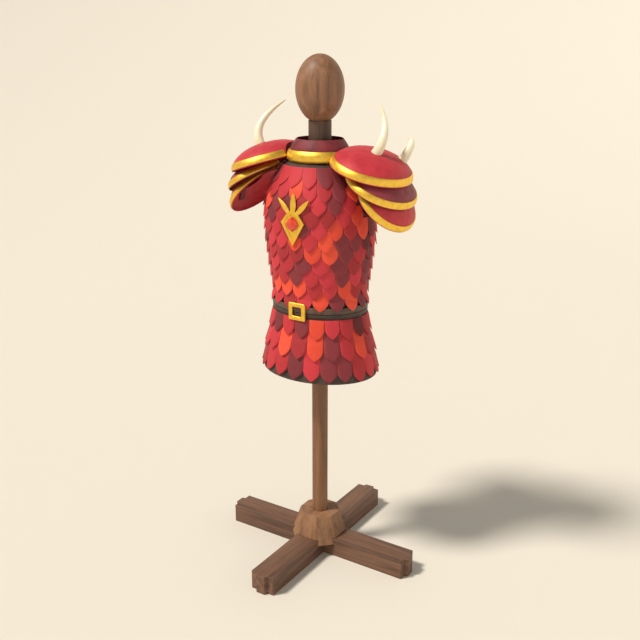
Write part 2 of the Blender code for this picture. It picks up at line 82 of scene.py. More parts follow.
def addPointValue(obj, name, values):
    # one number a point, which a material can read
    layer = obj.data.attributes.new(name, "FLOAT", "POINT")
    layer.data.foreach_set("value", np.asarray(values, dtype=np.float32).ravel())


def tidyNormals(obj):
    # doubles are merged first, then every face is turned outwards: a closed mesh then has a positive volume
    work = bmesh.new()
    work.from_mesh(obj.data)
    bmesh.ops.remove_doubles(work, verts=work.verts, dist=weldDistance)
    bmesh.ops.recalc_face_normals(work, faces=work.faces)
    if work.calc_volume(signed=True) < 0.0:
        bmesh.ops.reverse_faces(work, faces=work.faces)
    work.to_mesh(obj.data)
    work.free()


def settle(obj, sharpAngle):
    # the piece as its modifiers leave it, smooth but for edges sharper than the angle in degrees
    graph = bpy.context.evaluated_depsgraph_get()
    mesh = bpy.data.meshes.new_from_object(obj.evaluated_get(graph))
    obj.modifiers.clear()
    obj.data = mesh
    mesh.polygons.foreach_set("use_smooth", np.ones(len(mesh.polygons), dtype=bool))
    mesh.set_sharp_from_angle(angle=math.radians(sharpAngle))
    return obj


def addWall(obj, thickness):
    # the surface is the outer face, and the wall grows inwards from it
    wall = obj.modifiers.new("wall", "SOLIDIFY")
    wall.thickness = thickness
    wall.offset = -1.0
    wall.use_even_offset = True


def cutWith(obj, cutter):
    # the cutter's shape is taken away
    cut = obj.modifiers.new("cut", "BOOLEAN")
    cut.operation = "DIFFERENCE"
    cut.object = cutter
    cut.solver = "EXACT"


def roundEdges(obj, width, segments, angle):
    # edges sharper than the angle in degrees
    bevel = obj.modifiers.new("edges", "BEVEL")
    bevel.width = width
    bevel.segments = segments
    bevel.limit_method = "ANGLE"
    bevel.angle_limit = math.radians(angle)


def nodeCopy(name, nodeName):
    # the frame's own solid, with its loose triangles merged and its flat faces made whole again
    obj = cadNodes[nodeName].copy()
    obj.data = cadNodes[nodeName].data.copy()
    obj.name = name
    obj.parent = None
    for key in list(obj.keys()):
        del obj[key]
    bpy.context.scene.collection.objects.link(obj)
    work = bmesh.new()
    work.from_mesh(obj.data)
    bmesh.ops.remove_doubles(work, verts=work.verts, dist=weldDistance)
    bmesh.ops.dissolve_limit(work, angle_limit=math.radians(1.0), verts=work.verts, edges=work.edges)
    work.to_mesh(obj.data)
    work.free()
    return obj


def dress(obj, material, slotName, *nodeNames):
    # hands the finished piece to the frame
    obj.data.materials.clear()
    obj.data.materials.append(material)
    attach(obj, "root")
    if nodeNames:
        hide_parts(*nodeNames)
    return obj


def smoothStep(x, low, high):
    # 0 below low, 1 above high, and between them three times the square less twice the cube
    t = np.clip((x - low) / (high - low), 0.0, 1.0)
    return t * t * (3.0 - 2.0 * t)


def softBump(x, width):
    # a bell curve, 1 at its middle
    return np.exp(-(x / width) ** 2)


def angleFrom(theta, centre):
    # the turn from centre to theta, the short way round
    return (theta - centre + np.pi) % (2.0 * np.pi) - np.pi


def fullTurn(count):
    # even angles once round, the first at 0
    return np.arange(count) * 2.0 * np.pi / count


# helpers for materials

def linearColour(hexText):
    # sRGB to linear: a straight line near black, and above it a curve of power 2.4
    parts = np.array([int(hexText[k:k + 2], 16) for k in (1, 3, 5)]) / 255.0
    linear = np.where(parts <= 0.04045, parts / 12.92, ((parts + 0.055) / 1.055) ** 2.4)
    return (*linear.tolist(), 1.0)


def repeatsOf(millimetres):
    # a pattern's scale: how many of its features go in a metre
    return 1000.0 / millimetres


def addNode(tree, kind, settings=None, values=None, links=None):
    # one node, with its own settings, the values on its sockets and the links into them
    node = tree.nodes.new(kind)
    for key, value in (settings or {}).items():
        setattr(node, key, value)
    for key, value in (values or {}).items():
        node.inputs[key].default_value = value
    for key, (source, output) in (links or {}).items():
        tree.links.new(source.outputs[output], node.inputs[key])
    return node


def setRamp(node, stops, interpolation="LINEAR"):
    # stops are a place from 0 to 1 and a colour
    ramp = node.color_ramp
    ramp.interpolation = interpolation
    while len(ramp.elements) > 1:
        ramp.elements.remove(ramp.elements[-1])
    ramp.elements[0].position = stops[0][0]
    ramp.elements[0].color = linearColour(stops[0][1])
    for place, hexText in stops[1:]:
        ramp.elements.new(place).color = linearColour(hexText)


def newMaterial(name, roughness, metallic=0.0, ior=1.5, more=None):
    material = bpy.data.materials.new(name)
    material.use_nodes = True
    tree = material.node_tree
    shader = tree.nodes["Principled BSDF"]
    shader.inputs["Roughness"].default_value = roughness
    shader.inputs["Metallic"].default_value = metallic
    shader.inputs["IOR"].default_value = ior
    for key, value in (more or {}).items():
        shader.inputs[key].default_value = value
    return material, tree, shader


def makeScaleLacquer():
    # hide or plate scales in matt brushed lacquer: each scale is one flat colour of its own under faint
    # brush marks, and a little lighter along its lip: a painted highlight where the bevelled lip catches the
    # light
    look = {"brushMm": 9.0, "grainMm": 1.6, "bump": 0.16, "edgeHighlight": 0.35, "lighterHex": "#E0555A",
            "tones": ((0.0, "#C9323F"), (0.16, "#BF2D39"), (0.32, "#B42933"), (0.45, "#A3262E"),
                      (0.57, "#852D37"), (0.69, "#762832"), (0.80, "#EC5038"), (0.90, "#DF4630"),
                      (0.975, "#63121A"))}
    material, tree, shader = newMaterial("brushed lacquer on scales", 0.62, 0.0, 1.45)
    tone = addNode(tree, "ShaderNodeAttribute", {"attribute_name": "tone"})
    lipHighlight = addNode(tree, "ShaderNodeAttribute", {"attribute_name": "lipHighlight"})
    colours = addNode(tree, "ShaderNodeValToRGB", links={"Fac": (tone, "Fac")})
    setRamp(colours, look["tones"], "CONSTANT")
    place = addNode(tree, "ShaderNodeTexCoord")
    brushed = addNode(tree, "ShaderNodeTexNoise", links={"Vector": (place, "Object")},
                      values={"Scale": repeatsOf(look["brushMm"]), "Detail": 4.0, "Roughness": 0.6})
    shade = addNode(tree, "ShaderNodeMapRange", links={"Value": (brushed, "Fac")},
                    values={"From Min": 0.25, "From Max": 0.75, "To Min": 0.90, "To Max": 1.08})
    shaded = addNode(tree, "ShaderNodeVectorMath", {"operation": "SCALE"},
                     links={0: (colours, "Color"), "Scale": (shade, "Result")})
    # painted highlight: each scale's lip is mixed towards a lighter red, as if light caught its bevel
    highlightAmount = addNode(tree, "ShaderNodeMath", {"operation": "MULTIPLY"}, {1: look["edgeHighlight"]},
                        {0: (lipHighlight, "Fac")})
    highlighted = addNode(tree, "ShaderNodeMix", {"data_type": "RGBA", "blend_type": "MIX"},
                     {7: linearColour(look["lighterHex"])},
                     {"Factor": (highlightAmount, "Value"), 6: (shaded, "Vector")})
    tree.links.new(highlighted.outputs[2], shader.inputs["Base Color"])
    grain = addNode(tree, "ShaderNodeTexNoise", links={"Vector": (place, "Object")},
                    values={"Scale": repeatsOf(look["grainMm"]), "Detail": 2.0})
    both = addNode(tree, "ShaderNodeMath", {"operation": "ADD"},
                   links={0: (brushed, "Fac"), 1: (grain, "Fac")})
    bump = addNode(tree, "ShaderNodeBump", links={"Height": (both, "Value")},
                   values={"Strength": look["bump"], "Distance": 0.0008})
    tree.links.new(bump.outputs["Normal"], shader.inputs["Normal"])
    gloss = addNode(tree, "ShaderNodeMapRange", links={"Value": (brushed, "Fac")},
                    values={"To Min": 0.54, "To Max": 0.72})
    tree.links.new(gloss.outputs["Result"], shader.inputs["Roughness"])
    return material


def makeLameLacquer(name, darkHex, baseHex, lightHex):
    # hammered steel plate under satin lacquer: broad soft dents from the hammer, and a colour that goes
    # cloudy where the coat is thin
    look = {"hammerMm": 17.0, "cloudMm": 40.0, "grainMm": 1.5, "grainShare": 0.12, "bump": 0.22}
    material, tree, shader = newMaterial(name, 0.5, 0.0, 1.45)
    place = addNode(tree, "ShaderNodeTexCoord")
    clouds = addNode(tree, "ShaderNodeTexNoise", links={"Vector": (place, "Object")},
                     values={"Scale": repeatsOf(look["cloudMm"]), "Detail": 5.0, "Roughness": 0.6})
    colours = addNode(tree, "ShaderNodeValToRGB", links={"Fac": (clouds, "Fac")})
    setRamp(colours, ((0.25, darkHex), (0.5, baseHex), (0.75, lightHex)))
    tree.links.new(colours.outputs["Color"], shader.inputs["Base Color"])
    hammer = addNode(tree, "ShaderNodeTexVoronoi", {"feature": "SMOOTH_F1"},
                     {"Scale": repeatsOf(look["hammerMm"]), "Smoothness": 0.8}, {"Vector": (place, "Object")})
    grain = addNode(tree, "ShaderNodeTexNoise", links={"Vector": (place, "Object")},
                    values={"Scale": repeatsOf(look["grainMm"]), "Detail": 2.0})
    fine = addNode(tree, "ShaderNodeMath", {"operation": "MULTIPLY"}, {1: look["grainShare"]},
                   {0: (grain, "Fac")})
    both = addNode(tree, "ShaderNodeMath", {"operation": "ADD"},
                   links={0: (hammer, "Distance"), 1: (fine, "Value")})
    bump = addNode(tree, "ShaderNodeBump", links={"Height": (both, "Value")},
                   values={"Strength": look["bump"], "Distance": 0.003})
    tree.links.new(bump.outputs["Normal"], shader.inputs["Normal"])
    gloss = addNode(tree, "ShaderNodeMapRange", links={"Value": (clouds, "Fac")},
                    values={"To Min": 0.44, "To Max": 0.6})
    tree.links.new(gloss.outputs["Result"], shader.inputs["Roughness"])
    return material


def makeGilt():
    # gilt brass: warm yellow with soft reflections, in patches a little browner and brighter
    look = {"patinaMm": 14.0, "scratchMm": 1.2, "bump": 0.08}
    material, tree, shader = newMaterial("gilt brass", 0.42, 1.0)
    place = addNode(tree, "ShaderNodeTexCoord")
    patina = addNode(tree, "ShaderNodeTexNoise", links={"Vector": (place, "Object")},
                     values={"Scale": repeatsOf(look["patinaMm"]), "Detail": 6.0, "Roughness": 0.65})
    colours = addNode(tree, "ShaderNodeValToRGB", links={"Fac": (patina, "Fac")})
    setRamp(colours, ((0.28, "#EBB746"), (0.5, "#F8CB52"), (0.72, "#FDD964")))
    tree.links.new(colours.outputs["Color"], shader.inputs["Base Color"])
    gloss = addNode(tree, "ShaderNodeMapRange", links={"Value": (patina, "Fac")},
                    values={"To Min": 0.38, "To Max": 0.55})
    tree.links.new(gloss.outputs["Result"], shader.inputs["Roughness"])
    scratch = addNode(tree, "ShaderNodeTexNoise", links={"Vector": (place, "Object")},
                      values={"Scale": repeatsOf(look["scratchMm"]), "Detail": 3.0})
    bump = addNode(tree, "ShaderNodeBump", links={"Height": (scratch, "Fac")},
                   values={"Strength": look["bump"], "Distance": 0.0004})
    tree.links.new(bump.outputs["Normal"], shader.inputs["Normal"])
    return material


def makeLeather(name, pitHex, baseHex, lighterHex, roughness, grainMm, darkBy=None):
    # vegetable-tanned leather: pebbled grain, darker in its pits and rubbed lighter in patches; the real
    # grain is under a millimetre, and it is drawn about twice as coarse so that it shows
    look = {"wearMm": 35.7, "pitDepth": 0.35, "bump": 0.3, "darkened": 0.55}
    material, tree, shader = newMaterial(name, roughness)
    place = addNode(tree, "ShaderNodeTexCoord")
    pebbles = addNode(tree, "ShaderNodeTexVoronoi", {"feature": "F1"}, {"Scale": repeatsOf(grainMm)},
                      {"Vector": (place, "Object")})
    wear = addNode(tree, "ShaderNodeTexNoise", links={"Vector": (place, "Object")},
                   values={"Scale": repeatsOf(look["wearMm"]), "Detail": 6.0, "Roughness": 0.62})
    pit = addNode(tree, "ShaderNodeMath", {"operation": "MULTIPLY"}, {1: look["pitDepth"]},
                  {0: (pebbles, "Distance")})
    level = addNode(tree, "ShaderNodeMath", {"operation": "SUBTRACT"},
                    links={0: (wear, "Fac"), 1: (pit, "Value")})
    colours = addNode(tree, "ShaderNodeValToRGB", links={"Fac": (level, "Value")})
    setRamp(colours, ((0.12, pitHex), (0.36, baseHex), (0.62, lighterHex)))
    tree.links.new(colours.outputs["Color"], shader.inputs["Base Color"])
    if darkBy:
        # darker where the piece's own point value says so: on the belt, the band below the seam
        dark = addNode(tree, "ShaderNodeAttribute", {"attribute_name": darkBy})
        shade = addNode(tree, "ShaderNodeMapRange", links={"Value": (dark, "Fac")},
                        values={"To Min": 1.0, "To Max": look["darkened"]})
        shaded = addNode(tree, "ShaderNodeVectorMath", {"operation": "SCALE"},
                         links={0: (colours, "Color"), "Scale": (shade, "Result")})
        tree.links.new(shaded.outputs["Vector"], shader.inputs["Base Color"])
    bump = addNode(tree, "ShaderNodeBump", {"invert": True}, {"Strength": look["bump"], "Distance": 0.0006},
                   {"Height": (pebbles, "Distance")})
    tree.links.new(bump.outputs["Normal"], shader.inputs["Normal"])
    return material


def makeWood(name, darkHex, baseHex, lightHex, alongAxis, roughness=0.55):
    # oiled hardwood: long soft fibres along the piece between darker yearly rings; real fibres are finer
    # than a millimetre, and both are drawn coarse enough to show
    look = {"ringMm": 21.0, "fibreMm": 2.8, "fibreShare": 0.45, "stretch": 0.06, "bump": 0.18}
    material, tree, shader = newMaterial(name, roughness)
    place = addNode(tree, "ShaderNodeTexCoord")
    scales = [1.0, 1.0, 1.0]
    scales["xyz".index(alongAxis)] = look["stretch"]
    stretched = addNode(tree, "ShaderNodeMapping", values={"Scale": scales},
                        links={"Vector": (place, "Object")})
    rings = addNode(tree, "ShaderNodeTexNoise", links={"Vector": (stretched, "Vector")},
                    values={"Scale": repeatsOf(look["ringMm"]), "Detail": 3.0, "Distortion": 0.6})
    fibres = addNode(tree, "ShaderNodeTexNoise", links={"Vector": (stretched, "Vector")},
                     values={"Scale": repeatsOf(look["fibreMm"]), "Detail": 4.0, "Roughness": 0.7})
    mixed = addNode(tree, "ShaderNodeMath", {"operation": "MULTIPLY_ADD"}, {1: look["fibreShare"]},
                    {0: (fibres, "Fac"), 2: (rings, "Fac")})
    colours = addNode(tree, "ShaderNodeValToRGB", links={"Fac": (mixed, "Value")})
    setRamp(colours, ((0.52, darkHex), (0.72, baseHex), (0.92, lightHex)))
    tree.links.new(colours.outputs["Color"], shader.inputs["Base Color"])
    bump = addNode(tree, "ShaderNodeBump", links={"Height": (fibres, "Fac")},
                   values={"Strength": look["bump"], "Distance": 0.0006})
    tree.links.new(bump.outputs["Normal"], shader.inputs["Normal"])
    gloss = addNode(tree, "ShaderNodeMapRange", links={"Value": (rings, "Fac")},
                    values={"To Min": roughness - 0.08, "To Max": roughness + 0.12})
    tree.links.new(gloss.outputs["Result"], shader.inputs["Roughness"])
    return material


def makeHorn():
    # polished cow horn: cream with faint streaks, duller at its foot, and a little see-through
    look = {"streakMm": 16.67, "streakShare": 0.35, "bump": 0.12}
    glow = {"Subsurface Weight": 0.12, "Subsurface Scale": 0.006}
    material, tree, shader = newMaterial("polished pale horn", 0.36, 0.0, 1.54, glow)
    down = addNode(tree, "ShaderNodeAttribute", {"attribute_name": "down"})
    place = addNode(tree, "ShaderNodeTexCoord")
    streaks = addNode(tree, "ShaderNodeTexNoise", links={"Vector": (place, "Object")},
                      values={"Scale": repeatsOf(look["streakMm"]), "Detail": 5.0, "Roughness": 0.6,
                              "Distortion": 0.4})
    mixed = addNode(tree, "ShaderNodeMath", {"operation": "MULTIPLY_ADD"}, {1: look["streakShare"]},
                    {0: (streaks, "Fac"), 2: (down, "Fac")})
    colours = addNode(tree, "ShaderNodeValToRGB", links={"Fac": (mixed, "Value")})
    setRamp(colours, ((0.10, "#D8CBA6"), (0.32, "#F0E8CC"), (0.80, "#FBF5E0"), (1.15, "#EFE4C6")))
    tree.links.new(colours.outputs["Color"], shader.inputs["Base Color"])
    bump = addNode(tree, "ShaderNodeBump", links={"Height": (streaks, "Fac")},
                   values={"Strength": look["bump"], "Distance": 0.0006})
    tree.links.new(bump.outputs["Normal"], shader.inputs["Normal"])
    return material


def makeClouded(name, cloudMm, detail, stops, roughness, ior, more=None):
    # one colour that drifts a little from place to place
    material, tree, shader = newMaterial(name, roughness, 0.0, ior, more)
    place = addNode(tree, "ShaderNodeTexCoord")
    clouds = addNode(tree, "ShaderNodeTexNoise", links={"Vector": (place, "Object")},
                     values={"Scale": repeatsOf(cloudMm), "Detail": detail})
    colours = addNode(tree, "ShaderNodeValToRGB", links={"Fac": (clouds, "Fac")})
    setRamp(colours, stops)
    tree.links.new(colours.outputs["Color"], shader.inputs["Base Color"])
    return material


scaleLacquer = makeScaleLacquer()
lameCrimson = makeLameLacquer("crimson lacquer on hammered plate", "#B42A38", "#C3313E", "#CE3A46")
lameMaroon = makeLameLacquer("maroon lacquer on hammered plate", "#7C2C39", "#8B3341", "#983B49")
giltBrass = makeGilt()
jerkinLeather = makeLeather("dark oiled leather", "#2E221E", "#4A3833", "#5E4A42", 0.68, 2.0)
beltLeather = makeLeather("waxed belt leather", "#3A2C24", "#5C483E", "#72594A", 0.5, 1.6, "darkened")
collarLeather = makeLeather("dyed maroon leather", "#5A1822", "#7E2530", "#8E2F3B", 0.6, 1.8)
beamWoodX = makeWood("oiled walnut, along x", "#4E382C", "#6B4C3B", "#7E5C48", "x")
beamWoodY = makeWood("oiled walnut, along y", "#4E382C", "#6B4C3B", "#7E5C48", "y")
hubWood = makeWood("oiled beech hub", "#6E4D36", "#8B6447", "#9C7455", "z")
poleWood = makeWood("oiled beech pole", "#6A4830", "#80583E", "#916848", "z")
headWood = makeWood("turned beech", "#72503A", "#8A6248", "#9C7256", "z", 0.5)
neckWood = makeWood("dark oiled neck block", "#44322A", "#564036", "#664C3F", "z")
paleHorn = makeHorn()
# cut garnet-coloured glass: bright orange red, with sharp clear facets
glassCoat = {"Coat Weight": 0.4, "Coat Roughness": 0.08}
glassStops = ((0.3, "#C42B1E"), (0.5, "#DC4028"), (0.7, "#EE5A36"))
redGlass = makeClouded("cut red glass", 14.29, 3.0, glassStops, 0.12, 1.52, glassCoat)
# waxed linen thread: dull and pale brown, its twist just showing
linenThread = makeClouded("waxed linen thread", 1.111, 2.0, ((0.3, "#6A5A4A"), (0.7, "#8C7A66")), 0.7, 1.5)
print("materials made")


# stand

standSizes = {"poleRadius": 0.0277, "poleFrom": 0.0726, "poleTo": 1.3295, "poleRings": (0.5, 0.95),
              "neckRadius": 0.0372, "neckFrom": 1.4043, "neckTo": 1.5457, "neckRings": (1.45,),
              "edge": 0.0012, "sides": 72}
headSizes = {"radius": 0.0786, "half": 0.107, "centre": 1.643, "gap": 0.0003, "footRadius": 0.0342,
             "footIn": 0.030, "footAngle": 154.2, "sides": 96}


def ellipseRings(profile, theta):
    # a ring of points on an ellipse for each height, half width and half depth of the profile
    z, a, b = np.asarray(profile, dtype=float).T[:, :, None]
    return np.stack([a * np.cos(theta), b * np.sin(theta), z + 0 * theta], -1)


def turned(name, profile, sides):
    # a lathe piece: each height and radius of the profile carried round the pole
    rings = ellipseRings([(z, r, r) for z, r in profile], fullTurn(sides))
    obj = gridObject(name, rings, around=True, capFirst=True, capLast=True)
    tidyNormals(obj)
    return settle(obj, 32.0)


def postProfile(low, high, radius, between):
    # a straight post with a narrow bevel at each end, and rings on its side at the heights between
    edge = standSizes["edge"]
    side = [(z, radius) for z in (low + edge, *between, high - edge)]
    return [(low, radius - edge), *side, (high, radius - edge)]


# piece, its node, edge width, segments, angle from which edges are rounded, sharp angle, wood, slot
for name, node, edge, segments, angle, sharpAngle, wood, slotName in (
        ("beamAcross", "beam_x", 0.0018, 3, 30.0, 20.0, beamWoodX, "beams"),
        ("beamForward", "beam_y", 0.0018, 3, 30.0, 20.0, beamWoodY, "beams"),
        ("hubBlock", "hub", 0.0018, 2, 24.0, 14.0, hubWood, "hub"),
        ("shoulderYoke", "yoke", 0.0015, 3, 30.0, 22.0, poleWood, "pole_and_head")):
    block = nodeCopy(name, node)
    roundEdges(block, edge, segments, angle)
    dress(settle(block, sharpAngle), wood, slotName, node)

s = standSizes
poleProfile = postProfile(s["poleFrom"], s["poleTo"], s["poleRadius"], s["poleRings"])
dress(turned("poleTurned", poleProfile, s["sides"]), poleWood, "pole_and_head", "pole")
neckProfile = postProfile(s["neckFrom"], s["neckTo"], s["neckRadius"], s["neckRings"])
dress(turned("neckTurned", neckProfile, s["sides"]), neckWood, "pole_and_head", "neck")

# egg: half width is the sine and height the cosine of an angle run from the foot to the crown
s = headSizes
foot, crown = standSizes["neckTo"] + s["gap"], s["centre"] + s["half"]
eggAngle = np.radians(np.concatenate([[s["footAngle"]], np.linspace(152.0, 2.0, 44)]))
eggSide = np.stack([s["centre"] + s["half"] * np.cos(eggAngle), s["radius"] * np.sin(eggAngle)], 1)
eggProfile = [(foot, s["footIn"]), (foot, s["footRadius"]), *eggSide, (crown, 0.0)]
dress(turned("headEgg", eggProfile, s["sides"]), headWood, "pole_and_head", "head")
print("stand made")


# cloth: jerkin and skirt

bodyShape = {
    "z": (0.9485, 0.9885, 1.0285, 1.0685, 1.1085, 1.1485, 1.1885, 1.2285, 1.2685, 1.3085, 1.3485, 1.4100),
    "a": (0.1655, 0.1685, 0.1745, 0.1808, 0.1870, 0.1925, 0.1960, 0.1972, 0.1970, 0.1905, 0.1720, 0.1300),
    "b": (0.1340, 0.1357, 0.1402, 0.1456, 0.1508, 0.1550, 0.1575, 0.1582, 0.1580, 0.1542, 0.1430, 0.1205),
}
bodyScales = {
    "count": (18, 22, 22, 22, 22, 22, 20, 18, 20, 20, 18),
    "centre": (-74.6, -73.7, -64.0, -72.0, -64.0, -73.5, -70.5, -82.0, -73.0, -87.5, -62.0),
    "pitch": 0.040, "length": 0.068, "firstTip": 1.3485, "firstTop": (1.410, 0.1250, 0.1160), "notch": 0.0286,
    "archShare": 1.15, "wall": 0.002, "gap": 0.0004, "curved": 4, "reach": 74.0, "overBelt": 0.0058,
}
skirtScales = {
    "tip": (0.856, 0.786, 0.716), "a": (0.1826, 0.2015, 0.2115), "b": (0.1470, 0.1620, 0.1690),
    "count": (20, 20, 21), "centre": (-84.0, -86.0, -88.5), "top": (0.9195, 0.8840, 0.8140),
    "topA": 0.1692, "topB": 0.1387, "notch": 0.024, "archShare": 1.35, "moreGap": 0.0003,
}


def leanFactor(z):
    # how much longer the wall's level section is than its thickness: the root of 1 and the slope's square
    reach = 0.01
    low, high = np.interp((z - reach, z + reach), bodyShape["z"], bodyShape["a"])
    return math.sqrt(1.0 + min(abs(high - low) / (2.0 * reach), 1.0) ** 2)


def widths(knots, z):
    # half width and half depth at a height, on straight lines between the knots
    knots = np.asarray(knots, dtype=float)
    return np.interp(z, knots[:, 0], knots[:, 1]), np.interp(z, knots[:, 0], knots[:, 2])


def bodyRowKnots():
    # each row's outer face, as height, half width and half depth, from its tips up: the tips follow the
    # body's shape, and the heads stay clear under the row above
    s = bodyScales
    shape = list(zip(bodyShape["z"], bodyShape["a"], bodyShape["b"]))
    rows = [np.array([(s["firstTip"], *widths(shape, s["firstTip"])), s["firstTop"]])]
    for index in range(1, len(s["count"])):
        tip = s["firstTip"] - index * s["pitch"]
        tipSize = np.array(widths(shape, tip))
        above = rows[-1]
        knots = [(tip, *tipSize)]
        for z in (tip + s["pitch"], tip + s["length"]) if index < s["curved"] else (tip + s["length"],):
            drop = (s["wall"] + s["gap"]) * leanFactor(z)
            size = np.array(widths(above, z)) - drop
            if index >= s["curved"]:
                # straight scales: their heads stay on a line that passes under the tips above
                underTip = above[0, 1:] - drop
                size = np.minimum(size, tipSize + (underTip - tipSize) * s["length"] / s["pitch"])
            knots.append((z, *size))
        rows.append(np.array(knots))
    return rows


def skirtRowKnots():
    # the same for the skirt, where every row is straight
    s = skirtScales
    drop = bodyScales["wall"] + bodyScales["gap"] + s["moreGap"]
    rows = [np.array([(s["tip"][0], s["a"][0], s["b"][0]), (s["top"][0], s["topA"], s["topB"])])]
    for tip, top, *tipSize in list(zip(s["tip"], s["top"], s["a"], s["b"]))[1:]:
        above = rows[-1]
        stretch = (top - tip) / (above[0, 0] - tip)
        size = np.minimum(np.array(widths(above, top)) - drop,
                          tipSize + (above[0, 1:] - drop - np.array(tipSize)) * stretch)
        rows.append(np.array([(tip, *tipSize), (top, *size)]))
    return rows


rowKnots = bodyRowKnots()
skirtRows = skirtRowKnots()

cloth = {"wall": 0.0024, "seamGap": 0.0010, "waistSeam": 0.9367, "waistA": 0.1654, "waistB": 0.1354,
         "underBelt": (0.9455, 0.1590, 0.1276), "underBody": 0.0008, "underSkirt": 0.0028,
         "neck": ((1.4100, 0.1200, 0.1115), (1.4160, 0.1060, 0.0995), (1.4186, 0.0993, 0.0943),
                  (1.4210, 0.0985, 0.0935)),
         "hem": ((0.7065, 0.2065, 0.1640), (0.716, 0.2053, 0.1628)),
         "across": 96, "jerkinRows": 70, "skirtRows": 40, "armZ": 1.312, "armHalfHeight": 0.054,
         "armHalfDepth": 0.045, "armSides": 64, "scalesOff": 0.002}


def jerkinProfile():
    # from the waist seam up: under the belt, under the head of each row of scales, then in to the neck
    c = cloth
    knots = [(c["waistSeam"] + up, c["waistA"], c["waistB"]) for up in (0.0003, 0.003)] + [c["underBelt"]]
    for row in rowKnots[:0:-1]:
        z, a, b = row[-1]
        drop = (bodyScales["wall"] + c["underBody"]) * leanFactor(z)
        knots.append((z, a - drop, b - drop))
    return [*knots, *c["neck"]]


def skirtProfile():
    # from the hem up to the waist seam, under the head of each row of scales
    c = cloth
    heads = [row[-1] - (0.0, c["underSkirt"], c["underSkirt"]) for row in skirtRows[::-1]]
    return [*c["hem"], *heads, (c["waistSeam"], c["waistA"], c["waistB"])]


def clothPanel(name, knots, front, rowCount, creases):
    # half an ellipse at each height; each crease is a soft trough along a slanting line, and it fades
    # out over 50 mm at each end
    c = cloth
    gap = c["seamGap"] / 2.0 / knots[0][2]
    start = -np.pi if front else 0.0
    theta = np.linspace(start + gap, start + np.pi - gap, c["across"])
    levels = [np.linspace(knots[0][0], knots[-1][0], rowCount), [k[0] for k in knots]]
    z = np.unique(np.concatenate(levels))[:, None]
    a, b = widths(knots, z)
    lift = np.zeros((len(z), len(theta)))
    for centre, slant, lowZ, highZ, width, depth in creases:
        middle = math.radians(centre) + slant * (z - lowZ)
        fade = smoothStep(z, lowZ - 0.02, lowZ + 0.03) * (1.0 - smoothStep(z, highZ - 0.03, highZ + 0.02))
        lift -= depth * softBump(angleFrom(theta, middle), width) * fade
    points = np.stack([(a + lift) * np.cos(theta), (b + lift) * np.sin(theta), z + 0 * theta], -1)
    obj = gridObject(name, points)
    addWall(obj, c["wall"])
    return obj


def armCutter(name, more):
    # an oval bar through both shoulders
    phi = fullTurn(cloth["armSides"])
    y = (cloth["armHalfDepth"] + more) * np.cos(phi)
    z = cloth["armZ"] + (cloth["armHalfHeight"] + more) * np.sin(phi)
    rings = np.stack([np.stack([x + 0 * y, y, z], -1) for x in (-0.3, 0.3)])
    obj = gridObject(name, rings, around=True, capFirst=True, capLast=True)
    tidyNormals(obj)
    return obj


armClothCutter = armCutter("armClothCutter", 0.0)
armScaleCutter = armCutter("armScaleCutter", cloth["scalesOff"])

# degrees round, slant in radians a metre, from height, to height, width in radians, depth in metres
clothCreases = {
    "jerkinFront": (
        (-150, 0.8, 1.00, 1.22, 0.10, 0.0011), (-34, -0.9, 0.99, 1.20, 0.12, 0.0010),
        (-118, 0.3, 0.96, 1.06, 0.08, 0.0008), (-66, -0.4, 0.96, 1.08, 0.09, 0.0009),
        (-92, 0.1, 1.10, 1.30, 0.15, 0.0006)),
    "jerkinBack": (
        (30, 0.9, 1.00, 1.24, 0.11, 0.0011), (148, -0.8, 0.99, 1.21, 0.10, 0.0010),
        (64, 0.3, 0.96, 1.07, 0.09, 0.0009), (112, -0.5, 0.96, 1.06, 0.08, 0.0008),
        (88, 0.1, 1.08, 1.32, 0.16, 0.0007)),
    "skirtPanelFront": (
        (-160, 0.3, 0.72, 0.90, 0.09, 0.0014), (-128, -0.4, 0.71, 0.88, 0.11, 0.0012),
        (-101, 0.2, 0.71, 0.86, 0.08, 0.0010), (-70, -0.2, 0.71, 0.89, 0.10, 0.0013),
        (-38, 0.4, 0.71, 0.87, 0.12, 0.0012), (-16, -0.3, 0.72, 0.90, 0.08, 0.0011)),
    "skirtPanelBack": (
        (18, 0.4, 0.72, 0.90, 0.09, 0.0013), (47, -0.3, 0.71, 0.87, 0.11, 0.0012),
        (79, 0.2, 0.71, 0.88, 0.09, 0.0012), (108, -0.4, 0.71, 0.86, 0.10, 0.0011),
        (139, 0.3, 0.71, 0.89, 0.10, 0.0013), (163, -0.2, 0.72, 0.90, 0.08, 0.0010)),
}

jerkinKnots, skirtKnots = jerkinProfile(), skirtProfile()
for name, front, node in (("jerkinFront", True, "jerkin_front"), ("jerkinBack", False, "jerkin_back")):
    panel = clothPanel(name, jerkinKnots, front, cloth["jerkinRows"], clothCreases[name])
    cutWith(panel, armClothCutter)
    dress(settle(panel, 45.0), jerkinLeather, "leather", node)
for name, front, node in (("skirtPanelFront", True, "skirt_front"), ("skirtPanelBack", False, "skirt_back")):
    panel = clothPanel(name, skirtKnots, front, cloth["skirtRows"], clothCreases[name])
    dress(settle(panel, 45.0), jerkinLeather, "leather", node)

stitchSizes = {"long": 0.0034, "thick": 0.0009, "rings": 7, "hemZ": 0.7102, "neckZ": 1.4140}


